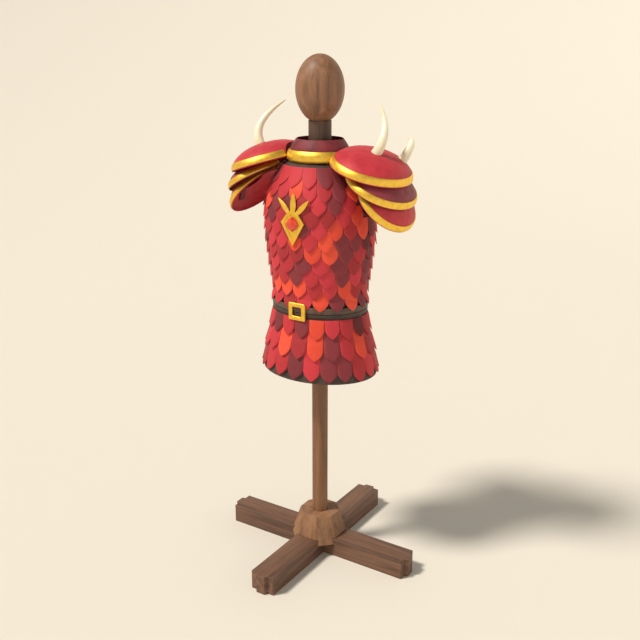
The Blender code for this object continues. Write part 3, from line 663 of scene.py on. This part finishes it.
def stitches(name, knots, z, degrees):
    # short threads laid round an ellipse: each one a thin ellipsoid, half sunk in the leather
    s = stitchSizes
    a, b = widths(knots, z)
    theta = np.radians(degrees)
    middle = np.stack([a * np.cos(theta), b * np.sin(theta), np.full_like(theta, z)], -1)
    along = np.stack([-a * np.sin(theta), b * np.cos(theta), 0 * theta], -1)
    along = along / np.linalg.norm(along, axis=1, keepdims=True)
    outward = np.stack([along[:, 1], -along[:, 0], 0 * theta], -1)[:, None, None, :]
    up = np.array((0.0, 0.0, 1.0))
    turn = np.linspace(0.0, 2.0 * np.pi, s["rings"])[None, None, :, None]
    ends = np.linspace(0.0, np.pi, s["rings"])[None, :, None, None]
    points = (middle[:, None, None, :] + s["long"] / 2.0 * np.cos(ends) * along[:, None, None, :]
              + s["thick"] / 2.0 * np.sin(ends) * (np.cos(turn) * outward + np.sin(turn) * up))
    obj = patchesObject(name, points)
    tidyNormals(obj)
    return dress(settle(obj, 60.0), linenThread, "leather")


hemAngles = np.linspace(-177.5, -2.5, 98)
neckFrontAngles, neckBackAngles = np.linspace(-150, -30, 44), np.linspace(30, 150, 44)
hemStitchesFront = stitches("hemStitchesFront", skirtKnots, stitchSizes["hemZ"], hemAngles)
hemStitchesBack = stitches("hemStitchesBack", skirtKnots, stitchSizes["hemZ"], -hemAngles)
neckStitchesFront = stitches("neckStitchesFront", jerkinKnots, stitchSizes["neckZ"], neckFrontAngles)
neckStitchesBack = stitches("neckStitchesBack", jerkinKnots, stitchSizes["neckZ"], neckBackAngles)
print("cloth made")


# scales

# metres, and sway in degrees
scaleLook = {"upPoints": 14, "wall": 0.0016, "lipDrop": 0.0006, "looseTip": 0.0007, "sway": 1.6,
             "swayShare": 0.35, "curve": 1.8, "tipRound": 0.8, "side": 0.975, "tipHalf": 0.07}
# where the brooch lies the scales are nearly flat
broochBed = {"halfWidth": 0.056, "low": 1.160, "high": 1.335, "liftShare": 0.15}
# a body scale is one smooth bow across; a long skirt scale has a flat face between a wide slope on its
# left edge and a narrow one on its right
bowAcross = np.linspace(-1.0, 1.0, 11)
bowAcross = np.sign(bowAcross) * np.abs(bowAcross) ** 0.8
bevelAcross = np.array((-1.0, -0.87, -0.76, -0.70, -0.35, 0.0, 0.35, 0.68, 0.84, 0.88, 1.0))
bodyForm = {"across": bowAcross, "crown": 1.0 - np.abs(bowAcross) ** 2.6, "bulge": 0.0012, "tipLift": 0.0021,
            "tipJitter": 0.0011, "fadeFrom": 0.9, "fadeTo": 1.9}
bevelCrown = np.interp(bevelAcross, (-1.0, -0.74, 0.86, 1.0), (0.0, 1.0, 0.8, 0.0))
skirtForm = {"across": bevelAcross, "crown": bevelCrown, "bulge": 0.0030, "tipLift": 0.0008,
             "tipJitter": 0.0022, "fadeFrom": 1.5, "fadeTo": 2.1}


def scalePatches(knots, centres, pitch, notch, form, overBelt):
    # a scale is a grid: its half width grows from the tip as a rounded arch, then its sides run straight
    # up; its crown stands off the row's face, and its lip is turned down a little all round; each array
    # below is scale, row, column, or the last two of them
    s, u = scaleLook, form["across"]
    tip, top = knots[0][0], knots[-1][0]
    each = (len(centres), 1, 1)
    h = (np.linspace(0.0, 1.0, s["upPoints"]) ** 1.45 * (top - tip))[:, None]
    arch = np.clip(h / notch, 0.0, 1.0)
    half = (1.0 - (1.0 - arch) ** s["curve"]) ** s["tipRound"] * s["side"]
    half[0] = s["tipHalf"]
    free = 1.0 - smoothStep(h, notch * form["fadeFrom"], notch * form["fadeTo"])
    drop = rng.normal(0.0, form["tipJitter"], each)
    tilt = rng.normal(0.0, 1.0, each)
    raised = np.abs(rng.normal(0.0, 1.0, each))
    z = tip + (h + drop * free) + 0.0 * u
    theta = np.radians(centres)[:, None, None] + u * half * math.radians(pitch / 2.0)
    theta = theta + math.radians(s["sway"]) * s["swayShare"] * tilt * (free * (1.0 - h / notch).clip(0, 1))
    a, b = widths(knots, z)
    tipHeight = (form["tipLift"] + s["looseTip"] * raised) * ((1.0 - h / (notch * 1.25)).clip(0, 1) ** 1.2)
    bed = broochBed
    underBrooch = (np.abs(a * np.cos(theta)) < bed["halfWidth"]) & (np.sin(theta) < 0)
    underBrooch = underBrooch & (z > bed["low"]) & (z < bed["high"])
    lift = form["bulge"] * form["crown"] * free + np.where(underBrooch, bed["liftShare"], 1.0) * tipHeight
    lift = lift + overBelt * (1.0 - smoothStep(h, 0.012, 0.038))
    # the side columns and the tip row are the lip: turned down here, and given a painted highlight in the
    # material
    lip = np.zeros((len(h), len(u)))
    lip[:, 0] = lip[:, -1] = lip[0, :] = 1.0
    lift = lift - s["lipDrop"] * lip * free
    normal = np.stack([np.cos(theta) / a, np.sin(theta) / b], -1)
    normal = normal / np.linalg.norm(normal, axis=-1, keepdims=True)
    x, y = a * np.cos(theta) + lift * normal[..., 0], b * np.sin(theta) + lift * normal[..., 1]
    return np.stack([x, y, z], -1), np.broadcast_to(lip, z.shape)


def scaleRow(name, knots, centres, pitch, notch, nodeNames, form, cutArms=False, overBelt=0.0):
    # one row of scales round the body, with a colour for each scale and a painted highlight along its lip
    points, lipHighlight = scalePatches(knots, centres, pitch, notch, form, overBelt)
    obj = patchesObject(name, points)
    # the shares of each colour are kept in every row, in a shuffled order
    tones = (rng.permutation(len(centres)) + rng.random(len(centres))) / len(centres)
    addPointValue(obj, "tone", np.broadcast_to(tones[:, None, None], lipHighlight.shape))
    # this mask is where the material paints the highlight along each lip
    addPointValue(obj, "lipHighlight", lipHighlight)
    addWall(obj, scaleLook["wall"])
    if cutArms:
        cutWith(obj, armScaleCutter)
    return dress(settle(obj, 30.0), scaleLacquer, "scales", *nodeNames)


def degreesFrom(centres, middle):
    # how far round from the middle, either way
    return np.abs((centres - middle + 180.0) % 360.0 - 180.0)


s = bodyScales
for index, (count, centre) in enumerate(zip(s["count"], s["centre"])):
    pitch = 360.0 / count
    centres = centre + np.arange(count) * pitch
    nodeNames = [f"scale_row_{index + 1:02d}"]
    if index < s["curved"]:
        # a front run and a back run, parted by the armholes
        away = np.minimum(degreesFrom(centres, -90.0), degreesFrom(centres, 90.0))
        centres = centres[away < s["reach"]]
        nodeNames = [nodeNames[0] + "_front", nodeNames[0] + "_back"]
    lastRow = index == len(s["count"]) - 1
    scaleRow(f"scaleRow{index + 1:02d}", rowKnots[index], centres, pitch, s["notch"] * s["archShare"],
             nodeNames, bodyForm, cutArms=index <= s["curved"], overBelt=s["overBelt"] if lastRow else 0.0)
s = skirtScales
for index, (count, centre) in enumerate(zip(s["count"], s["centre"])):
    centres = centre + np.arange(count) * 360.0 / count
    scaleRow(f"skirtRow{index + 1}", skirtRows[index], centres, 360.0 / count, s["notch"] * s["archShare"],
             [f"skirt_row_{index + 1}"], skirtForm)
print("scales made")


# belt, buckle, collar and ring

roundBody = fullTurn(160)
beltSizes = {"low": 0.9270, "seam": 0.9388, "high": 0.9600, "a": 0.1700, "b": 0.1400, "wall": 0.0035,
             "edge": 0.0009, "groove": 0.0004, "grooveIn": 0.0032, "grooveHalf": 0.0009, "lowIn": 0.0009,
             "seamDeep": 0.0030}


def beltSection():
    # height and inset: a strap face above the seam with a pressed line along each edge, a deep line at
    # the seam, and the lower edge set back
    s = beltSizes
    low, seam, high, wall, edge = s["low"], s["seam"], s["high"], s["wall"], s["edge"]
    lowIn, deep, grooveIn, grooveHalf = s["lowIn"], s["seamDeep"], s["grooveIn"], s["grooveHalf"]
    section = [(low + edge, -wall), (low, -wall + edge), (low, -edge - lowIn), (low + edge, -lowIn),
               (seam - 0.0042, -lowIn), (seam - 0.0016, -lowIn - 0.0002), (seam - 0.0009, -deep),
               (seam + 0.0005, -deep), (seam + 0.0009, -edge), (seam + 0.0018, 0.0)]
    for middle in (seam + grooveIn + 0.001, high - grooveIn):
        section += [(middle - grooveHalf, 0.0), (middle, -s["groove"]), (middle + grooveHalf, 0.0)]
    return section + [(high - edge, 0.0), (high - edge * 0.4, -edge * 0.4), (high, -edge),
                      (high, -wall + edge), (high - edge, -wall)]


s = beltSizes
section = beltSection()
beltRings = ellipseRings([(z, s["a"] + inset, s["b"] + inset) for z, inset in section], roundBody)
belt = gridObject("beltStrap", beltRings, around=True, endless=True)
# the band below the seam, whose lower edge is set back, is drawn darker
below = 1.0 - smoothStep(np.array([z for z, inset in section]), s["seam"] - 0.0004, s["seam"] + 0.0012)
addPointValue(belt, "darkened", np.repeat(below, len(roundBody)))
tidyNormals(belt)
dress(settle(belt, 40.0), beltLeather, "belt", "belt")

buckleSizes = {"halfWidth": 0.0315, "halfHeight": 0.0295, "holeHalfWidth": 0.0175, "holeHalfHeight": 0.0155,
               "back": -0.1404, "depth": 0.007, "x": 0.0025, "z": 0.9425, "corner": 0.0035,
               "innerCorner": 0.0025,
               # from the outer edge to the hole, as shares of the frame's width and of its depth
               "section": ((0, 0), (0, 0.72), (0.05, 0.90), (0.14, 1.0), (0.5, 1.02), (0.86, 1.0),
                           (0.95, 0.90), (1, 0.72), (1, 0))}


def roundedRectangle(halfWidth, halfHeight, radius, count=96):
    # corner centres moved in by the radius, and a quarter turn at each corner
    turn = np.linspace(0.0, 2.0 * np.pi, count, endpoint=False) + 1e-6
    x = np.sign(np.cos(turn)) * (halfWidth - radius) + radius * np.cos(turn)
    z = np.sign(np.sin(turn)) * (halfHeight - radius) + radius * np.sin(turn)
    return x, z


s = buckleSizes
loop = []
for inward, forward in s["section"]:
    halfWidth = s["halfWidth"] + (s["holeHalfWidth"] - s["halfWidth"]) * inward
    halfHeight = s["halfHeight"] + (s["holeHalfHeight"] - s["halfHeight"]) * inward
    corner = s["corner"] - (s["corner"] - s["innerCorner"]) * inward
    x, z = roundedRectangle(halfWidth, halfHeight, corner)
    loop.append(np.stack([s["x"] + x, np.full_like(x, s["back"] - s["depth"] * forward), s["z"] + z], -1))
buckle = gridObject("beltBuckle", np.stack(loop), around=True, endless=True)
tidyNormals(buckle)
dress(settle(buckle, 50.0), giltBrass, "gilt", "buckle")

collarSizes = {
    "outer": ((1.4215, 0.0985, 0.0935), (1.440, 0.0983, 0.0933), (1.456, 0.0978, 0.0928),
              (1.464, 0.0946, 0.0899), (1.472, 0.0905, 0.0858), (1.481, 0.0843, 0.0800),
              (1.4885, 0.0787, 0.0747)),
    "rim": ((1.4897, 0.0772, 0.0732), (1.4893, 0.0759, 0.0719)), "wall": 0.002625, "innerLow": 0.0016,
    # soft folds near the rim: degrees round, width in radians, depth in metres
    "folds": ((-140, 0.16, 0.0008), (-96, 0.10, 0.0004), (-61, 0.13, 0.0009), (-12, 0.15, 0.0007),
              (34, 0.12, 0.0008), (78, 0.14, 0.0006), (121, 0.12, 0.0009), (166, 0.13, 0.0007)),
    "foldFrom": 1.452, "foldTo": 1.475,
}
s = collarSizes
outer = np.array(s["outer"])
inner = outer[::-1].copy()
inner[:, 1:] -= s["wall"]
inner[:, 0] -= np.linspace(s["innerLow"], 0.0, len(inner))
collarSection = np.concatenate([outer, s["rim"], inner])
points = ellipseRings(collarSection, roundBody)
fold = np.zeros(len(roundBody))
for centre, width, depth in s["folds"]:
    fold -= depth * softBump(angleFrom(roundBody, math.radians(centre)), width)
fold = smoothStep(collarSection[:, 0], s["foldFrom"], s["foldTo"])[:, None] * fold
points[..., 0] += fold * np.cos(roundBody)
points[..., 1] += fold * np.sin(roundBody)
collar = gridObject("standingCollar", points, around=True, endless=True)
tidyNormals(collar)
dress(settle(collar, 50.0), collarLeather, "collar", "collar")

# a gilt ring, widest a little below its middle: height, half width, half depth
ringSection = ((1.4195, 0.0996, 0.0946), (1.4193, 0.1018, 0.0966), (1.4200, 0.1045, 0.0990),
               (1.4222, 0.1072, 0.1012), (1.4255, 0.1096, 0.1031), (1.4295, 0.1113, 0.1044),
               (1.4335, 0.1121, 0.1051), (1.4352, 0.1121, 0.1051), (1.4392, 0.1111, 0.1044),
               (1.4440, 0.1100, 0.1035), (1.4490, 0.1072, 0.1011), (1.4525, 0.1045, 0.0985),
               (1.4552, 0.1015, 0.0962), (1.4560, 0.1003, 0.0953), (1.4556, 0.0992, 0.0942),
               (1.4540, 0.0989, 0.0939))
ring = gridObject("collarRing", ellipseRings(ringSection, roundBody), around=True, endless=True)
tidyNormals(ring)
dress(settle(ring, 42.0), giltBrass, "gilt", "collar_ring")
print("belt and collar made")


# shoulder lames, bands and leathers

# each lame is part of an ellipsoid: its middle, its tilt in degrees, its half sizes outwards (a), front to
# back (b) and upwards (h), and how far up its sheet runs in degrees
lameSizes = (
    {"x": 0.1912, "z": 1.3979, "tilt": 17.2, "a": 0.1275, "b": 0.1511, "h": 0.0694, "top": 90.0},
    {"x": 0.2265, "z": 1.3470, "tilt": 28.7, "a": 0.1135, "b": 0.1405, "h": 0.0620, "top": 58.0},
    {"x": 0.2440, "z": 1.2985, "tilt": 47.0, "a": 0.1060, "b": 0.1270, "h": 0.0590, "top": 61.0},
)
lameLook = {"wall": 0.0022, "around": 144, "up": 30, "lip": 0.0007, "lipWidth": 0.0022, "hammer": 0.00045,
            "markMm": (7.1, 9.3, 8.3, 6.1, 9.7, 6.7)}
bandSizes = {"from": 2.6, "to": 21.0, "around": 145, "back": 0.0004, "edge": 0.0016, "round": 0.0023,
             "lift": 0.0026, "crown": 0.0002}
halvings = 30
clearOfBody = [(z, a + 0.0025, b + 0.0025) for z, a, b in zip(bodyShape["z"], bodyShape["a"], bodyShape["b"])]
clearOfBody += [(1.4185, 0.1134, 0.1066), (1.60, 0.1134, 0.1066)]  # and of the collar's ring


def domeAxes(lame):
    # the middle, and the directions outwards, across and upwards once the lame is tilted
    tilt = math.radians(lame["tilt"])
    out = np.array((math.cos(tilt), 0.0, -math.sin(tilt)))
    up = np.array((math.sin(tilt), 0.0, math.cos(tilt)))
    return np.array((lame["x"], 0.0, lame["z"])), out, np.array((0.0, 1.0, 0.0)), up


def domePoints(lame, turn, rise, lift=0.0):
    # an ellipsoid's point: cosine of the rise times the rim's point, plus its sine times the height
    centre, out, across, up = domeAxes(lame)
    turn, rise, lift = (part[..., None] for part in np.broadcast_arrays(turn, rise, lift))
    flatPart = ((lame["a"] + lift) * np.cos(rise) * np.cos(turn) * out
                + (lame["b"] + lift) * np.cos(rise) * np.sin(turn) * across)
    return centre + flatPart + (lame["h"] + lift) * np.sin(rise) * up


def insideBody(lame, turn, rise):
    # inside the body's ellipse at the point's height
    points = domePoints(lame, turn, rise)
    a, b = widths(clearOfBody, points[..., 2])
    return (points[..., 0] / a) ** 2 + (points[..., 1] / b) ** 2 < 1.0


def trimRise(lame, turn):
    # the lowest rise at which the dome is clear of the body, found by halving
    low, high = np.zeros_like(turn), np.full_like(turn, math.radians(80.0))
    needed = insideBody(lame, turn, low)
    for _ in range(halvings):
        middle = 0.5 * (low + high)
        blocked = insideBody(lame, turn, middle)
        low, high = np.where(blocked, middle, low), np.where(blocked, high, middle)
    return np.where(needed, high, 0.0)


def planished(points):
    # shallow hammer marks: the sum of three crossing waves, cut flat at its tops and its hollows
    x, y, z = points[..., 0] * 1000.0, points[..., 1] * 1000.0, points[..., 2] * 1000.0
    m = lameLook["markMm"]
    wave = np.cos(x / m[0] + z / m[1]) + np.cos(y / m[2] - z / m[3]) + np.cos(x / m[4] - y / m[5])
    return lameLook["hammer"] * np.clip(wave, -1.2, 1.2) / 1.2


def mirrored(points, side):
    # side is 1, or -1 for the other shoulder
    return points * np.array((side, 1.0, 1.0))


def lameShell(name, lame, side):
    # rows rise from the trimmed edge; the edge has a small rolled lip, and the marks start above the band
    turn = fullTurn(lameLook["around"])
    start = trimRise(lame, turn)
    v = np.linspace(0.0, 1.0, lameLook["up"])[:, None] ** 1.2
    rise = start + (math.radians(lame["top"]) - start) * v
    lip = lameLook["lip"] * softBump((rise - start) * lame["h"], lameLook["lipWidth"])
    lift = lip + planished(domePoints(lame, turn, rise)) * smoothStep(rise, 0.4, 0.7)
    shell = gridObject(name, mirrored(domePoints(lame, turn, rise, lift), side), around=True)
    tidyNormals(shell)
    # the dome is open, so its faces are turned away from its centre by hand
    away = shell.data.polygons[0].center - Vector(mirrored(domeAxes(lame)[0], side))
    if shell.data.polygons[0].normal.dot(away) < 0:
        shell.data.flip_normals()
    addWall(shell, lameLook["wall"])
    return settle(shell, 40.0)


def bandAround(name, lame, side):
    # a low rounded section, carried along the rim as far as the trimmed part
    s = bandSizes
    clearTurn = np.linspace(0.0, np.pi, 721)
    blocked = np.nonzero(trimRise(lame, clearTurn) > math.radians(2.0))[0]
    closed = len(blocked) == 0
    reach = np.pi if closed else clearTurn[blocked[0]]
    along = np.linspace(-reach, reach, s["around"])
    if closed:
        along = along[:-1]
    low, high = math.radians(s["from"]), math.radians(s["to"])
    back, edge, curve, lift = s["back"], s["edge"], s["round"], s["lift"]
    section = ((0.0, back), (0.0, edge), (0.05, curve), (0.14, lift), (0.5, lift + s["crown"]), (0.86, lift),
               (0.95, curve), (1.0, edge), (1.0, back), (0.5, back))
    rings = [domePoints(lame, along, low + (high - low) * share, height) for share, height in section]
    band = gridObject(name, mirrored(np.stack(rings, 1), side), around=True, endless=closed,
                      capFirst=not closed, capLast=not closed)
    tidyNormals(band)
    return settle(band, 50.0)


for side, word in ((1, "Right"), (-1, "Left")):
    nodeWord = word.lower()
    for number, lame in enumerate(lameSizes, 1):
        shell = lameShell(f"lame{word}{number}", lame, side)
        dress(shell, lameMaroon if number == 2 else lameCrimson, "lames", f"lame_{nodeWord}_{number}")
        band = bandAround(f"band{word}{number}", lame, side)
        dress(band, giltBrass, "gilt", f"band_{nodeWord}_{number}")
    leather = nodeCopy(f"innerLeather{word}", f"leather_{nodeWord}")
    roundEdges(leather, 0.0004, 2, 30.0)
    dress(settle(leather, 60.0), collarLeather, "leather", f"leather_{nodeWord}")
print("lames made")


# horns

hornSizes = (
    {"base": (0.2165, -0.018, 1.4645), "middle": (0.2350, 0.000, 1.5215), "tip": (0.178, 0.068, 1.599),
     "radius": 0.018},
    {"base": (0.2620, 0.070, 1.4310), "middle": (0.2780, 0.096, 1.4750), "tip": (0.248, 0.131, 1.489),
     "radius": 0.017},
)
hornLook = {"around": 40, "up": 56, "ridges": 13.0, "ridgeDepth": 0.028, "oval": 0.93, "sunk": 0.35,
            "taper": 0.55, "end": 0.995, "seat": 0.0002}


def hornPoints(horn, t, phi):
    # a curved centre line (quadratic through middle and tip, from a start sunk below the base) with a
    # radius that narrows to the tip, and soft ridges near the foot
    s = hornLook
    base, middle, tip = (np.array(horn[k]) for k in ("base", "middle", "tip"))
    start = base - (middle - base) * s["sunk"]
    control = 2.0 * middle - (start + tip) / 2.0
    t = t[..., None]
    centre = (1 - t) ** 2 * start + 2 * t * (1 - t) * control + t * t * tip
    way = 2 * (1 - t) * (control - start) + 2 * t * (tip - control)
    way = way / np.linalg.norm(way, axis=-1, keepdims=True)
    first = np.cross(way, np.array((0.0, 1.0, 0.0)))
    first = first / np.linalg.norm(first, axis=-1, keepdims=True)
    second = np.cross(way, first)
    wave = np.cos(2 * np.pi * s["ridges"] * t ** 0.8)
    ridges = 1.0 + s["ridgeDepth"] * wave * (1 - smoothStep(t, 0.15, 0.6))
    radius = horn["radius"] * np.clip(1 - t, 0, 1) ** s["taper"] * ridges
    return centre + radius * (np.cos(phi)[..., None] * first + s["oval"] * np.sin(phi)[..., None] * second)


def outsideDome(points, lame, lift):
    # past the ellipsoid: the squares of the three distances, each over its half size, add up to more than 1
    centre, out, across, up = domeAxes(lame)
    q = points - centre
    sizes = ((out, lame["a"]), (across, lame["b"]), (up, lame["h"]))
    return sum((q @ axis / (size + lift)) ** 2 for axis, size in sizes) > 1.0


for side, word, hornCount in ((1, "Right", 2), (-1, "Left", 1)):
    for number, horn in enumerate(hornSizes[:hornCount], 1):
        # where each line down the horn leaves the uppermost lame, found by halving
        phi = fullTurn(hornLook["around"])
        low, high = np.zeros_like(phi), np.full_like(phi, 0.6)
        for _ in range(halvings):
            middle = 0.5 * (low + high)
            out = outsideDome(hornPoints(horn, middle, phi), lameSizes[0], hornLook["seat"])
            low, high = np.where(out, low, middle), np.where(out, middle, high)
        v = np.linspace(0.0, 1.0, hornLook["up"])[:, None]
        t = high + (hornLook["end"] - high) * (1.0 - (1.0 - v) ** 1.25)
        points = mirrored(hornPoints(horn, t, np.broadcast_to(phi, t.shape)), side)
        obj = gridObject(f"horn{word}{number}", points, around=True, capFirst=True, capLast=True)
        addPointValue(obj, "down", t)
        tidyNormals(obj)
        dress(settle(obj, 50.0), paleHorn, "horn", f"horn_{word.lower()}_{number}")
print("horns made")


# brooch

broochSizes = {"halfWidth": 0.044, "low": 1.165, "high": 1.283, "wideZ": 1.240, "back": -0.1583,
               "depth": 0.006, "sidePoints": 16}
# how far in from the edge, and how far back from the face: a rounded edge, a flat rim, then the bed
plateSection = ((0.0, 0.006), (0.0, 0.0022), (0.0006, 0.0009), (0.0018, 0.0002), (0.0032, 0.0), (0.0088, 0.0),
                (0.0100, 0.0003), (0.0108, 0.0011), (0.0110, 0.0021), (0.0240, 0.0021), (0.0330, 0.0021))


def kiteOutline(inset, y):
    # six corners of a kite with full shoulders, each side drawn with extra points
    s = broochSizes
    wide, high, low = s["halfWidth"] - inset * 1.25, s["high"] - inset * 1.25, s["low"] + inset * 1.9
    shoulder = (s["wideZ"] + high) / 2 + 0.004
    corners = np.array([(0.0, low), (wide, s["wideZ"]), (wide * 0.55, shoulder), (0.0, high),
                        (-wide * 0.55, shoulder), (-wide, s["wideZ"]), (0.0, low)])
    place = np.linspace(0.0, 6.0, 6 * s["sidePoints"], endpoint=False)
    x, z = (np.interp(place, np.arange(7), corners[:, k]) for k in range(2))
    return np.stack([x, np.full_like(x, y), z], -1)


broochFace = broochSizes["back"] - broochSizes["depth"]
kites = np.stack([kiteOutline(inset, broochFace + behind) for inset, behind in plateSection])
plate = gridObject("broochPlate", kites, around=True, capFirst=True, capLast=True)
tidyNormals(plate)
dress(settle(plate, 35.0), giltBrass, "gilt", "brooch_plate")

leafSizes = (
    {"name": "broochLeafMiddle", "path": ((0.0, 1.262), (0.0, 1.305), (0.0, 1.338)), "width": 0.011},
    {"name": "broochLeafRight", "path": ((0.008, 1.262), (0.036, 1.292), (0.060, 1.318)), "width": 0.009},
    {"name": "broochLeafLeft", "path": ((-0.008, 1.262), (-0.036, 1.292), (-0.060, 1.318)), "width": 0.009},
)
leafLook = {"rows": 34, "end": 0.999, "footShare": 0.55, "swell": 1.9, "offScales": 0.0012, "back": 0.0006,
            "across": (1.0, 0.82, 0.5, 0.16, 0.0, -0.16, -0.5, -0.82, -1.0, -0.6, 0.0, 0.6),
            "lift": (0.0006, 0.0026, 0.0036, 0.0042, 0.0050, 0.0042, 0.0036, 0.0026, 0.0006, 0.0, 0.0, 0.0)}


def frontFace(x, z):
    # the front of the body's ellipse at that height
    a, b = (np.interp(z, bodyShape["z"], bodyShape[key]) for key in "ab")
    return -b * np.sqrt(1 - (x / a) ** 2)


def leafObject(leaf):
    # a curved midline; across it a raised rib falls to thin edges, and its width swells and then closes
    # to a point
    s = leafLook
    start, control, end = (np.array(p) for p in leaf["path"])
    t = np.linspace(0.0, s["end"], s["rows"])[:, None]
    line = (1 - t) ** 2 * start + 2 * t * (1 - t) * control + t * t * end
    way = 2 * (1 - t) * (control - start) + 2 * t * (end - control)
    way = way / np.linalg.norm(way, axis=1, keepdims=True)
    half = leaf["width"] * (s["footShare"] + s["swell"] * t * (1 - t)) * (1 - t ** 4)
    across = np.array(s["across"])
    x = line[:, :1] + way[:, 1:] * across * half
    z = line[:, 1:] - way[:, :1] * across * half
    back = np.minimum(frontFace(line[:, :1], line[:, 1:]) - s["offScales"], broochSizes["back"] + 0.004 * t)
    y = back - s["back"] - np.array(s["lift"]) * (1.0 - 0.5 * t ** 3)
    obj = gridObject(leaf["name"], np.stack([x, y, z], -1), around=True, capFirst=True, capLast=True)
    tidyNormals(obj)
    return settle(obj, 40.0)


for leaf in leafSizes:
    dress(leafObject(leaf), giltBrass, "gilt")

stoneSizes = {"z": 1.236, "footBehind": 0.0017, "edge": 0.0004,
              # half width, height over the foot, and the share of the half width at every second corner
              "cuts": ((0.0215, 0.0, 0.86), (0.0245, 0.002, 0.88), (0.02009, 0.006, 0.94),
                       (0.01225, 0.0085, 1.0))}


def stoneRing(half, y, cut):
    # eight corners round the stone, of which every second one is moved in
    turn = np.arange(8) * np.pi / 4.0
    reach = np.where(np.arange(8) % 2 == 0, half, half * cut)
    return np.stack([reach * np.cos(turn), np.full(8, y), stoneSizes["z"] + reach * np.sin(turn)], -1)


s = stoneSizes
footY = broochFace + s["footBehind"]
stoneRings = np.stack([stoneRing(half, footY - height, cut) for half, height, cut in s["cuts"]])
stone = gridObject("broochStone", stoneRings, around=True, capFirst=True, capLast=True)
tidyNormals(stone)
roundEdges(stone, s["edge"], 1, 12)
dress(settle(stone, 8.0), redGlass, "stone", "brooch_stone")
print("brooch made")


# the armhole cutters are no longer needed

for cutter in (armClothCutter, armScaleCutter):
    bpy.data.objects.remove(cutter, do_unlink=True)


# floor, light and camera

paperLook = {"hex": "#E3DFD6", "flatTo": 4.0, "slope": 0.46, "bend": 10.0, "steepFrom": 24.0,
             "steepening": 0.028, "rings": (4.0, *np.linspace(5.0, 20.0, 16), 24.0, 28.0, 32.0, 36.0,
                                            40.0, 44.0), "around": 96}
s = paperLook
paperFinish = {"Specular IOR Level": 0.0, "Base Color": linearColour(s["hex"])}
paperMaterial = newMaterial("plain pale paper", 0.95, more=paperFinish)[0]
# metres: flat under the object, then rising as a square curve until it has its full slope, and far off
# rising faster again, so that no horizon shows
out = np.array(s["rings"])[:, None]
past = np.clip(out - s["flatTo"], 0.0, None)
height = s["slope"] * np.where(past < s["bend"], past ** 2 / (2 * s["bend"]), past - s["bend"] / 2)
height = height + s["steepening"] * np.clip(out - s["steepFrom"], 0.0, None) ** 2
theta = fullTurn(s["around"])
rings = np.stack([out * np.cos(theta), out * np.sin(theta), height + 0 * theta], -1)
paper = gridObject("paperSweep", rings, around=True, capFirst=True)
tidyNormals(paper)
settle(paper, 60.0)
if paper.data.polygons[0].normal.z < 0:
    paper.data.flip_normals()
paper.data.materials.append(paperMaterial)
bpy.context.scene.view_settings.view_transform = "Standard"

# one soft key from the upper left of the photo, and an even white fill
lightLook = {"sunStrength": 3.1, "sunSoft": 11.0, "sunHex": "#FFF6E8", "sunFrom": (-0.378, -0.450, 0.809),
             "fill": 0.28, "fillHex": "#FFFFFF"}
s = lightLook
world = bpy.context.scene.world or bpy.data.worlds.new("soft studio")
bpy.context.scene.world = world
world.use_nodes = True
backdrop = world.node_tree.nodes["Background"]
backdrop.inputs["Color"].default_value = linearColour(s["fillHex"])
backdrop.inputs["Strength"].default_value = s["fill"]

sunLight = bpy.data.lights.new("key", "SUN")
sunLight.energy = s["sunStrength"]
sunLight.angle = math.radians(s["sunSoft"])
sunLight.color = linearColour(s["sunHex"])[:3]
key = bpy.data.objects.new("key", sunLight)
bpy.context.scene.collection.objects.link(key)
towards = -np.array(s["sunFrom"])
pitchDown = math.acos(-towards[2] / np.linalg.norm(towards))
key.rotation_euler = (pitchDown, 0.0, math.atan2(towards[1], towards[0]) - math.pi / 2)

# the camera stands where the photo's did; angles are in degrees, lens and sensor in millimetres
cameraSizes = {"eye": (1.5656, -2.4368, 1.8191), "azimuth": 32.72, "elevation": 18.07, "lens": 50.0,
               "sensor": 36.0}
s = cameraSizes
cameraData = bpy.data.cameras.new("camera")
cameraData.lens = s["lens"]
cameraData.sensor_width = s["sensor"]
cameraData.clip_end = 100.0
camera = bpy.data.objects.new("camera", cameraData)
camera.location = s["eye"]
camera.rotation_euler = (math.radians(90.0 - s["elevation"]), 0.0, math.radians(s["azimuth"]))
bpy.context.scene.collection.objects.link(camera)
bpy.context.scene.camera = camera
print("stage made")
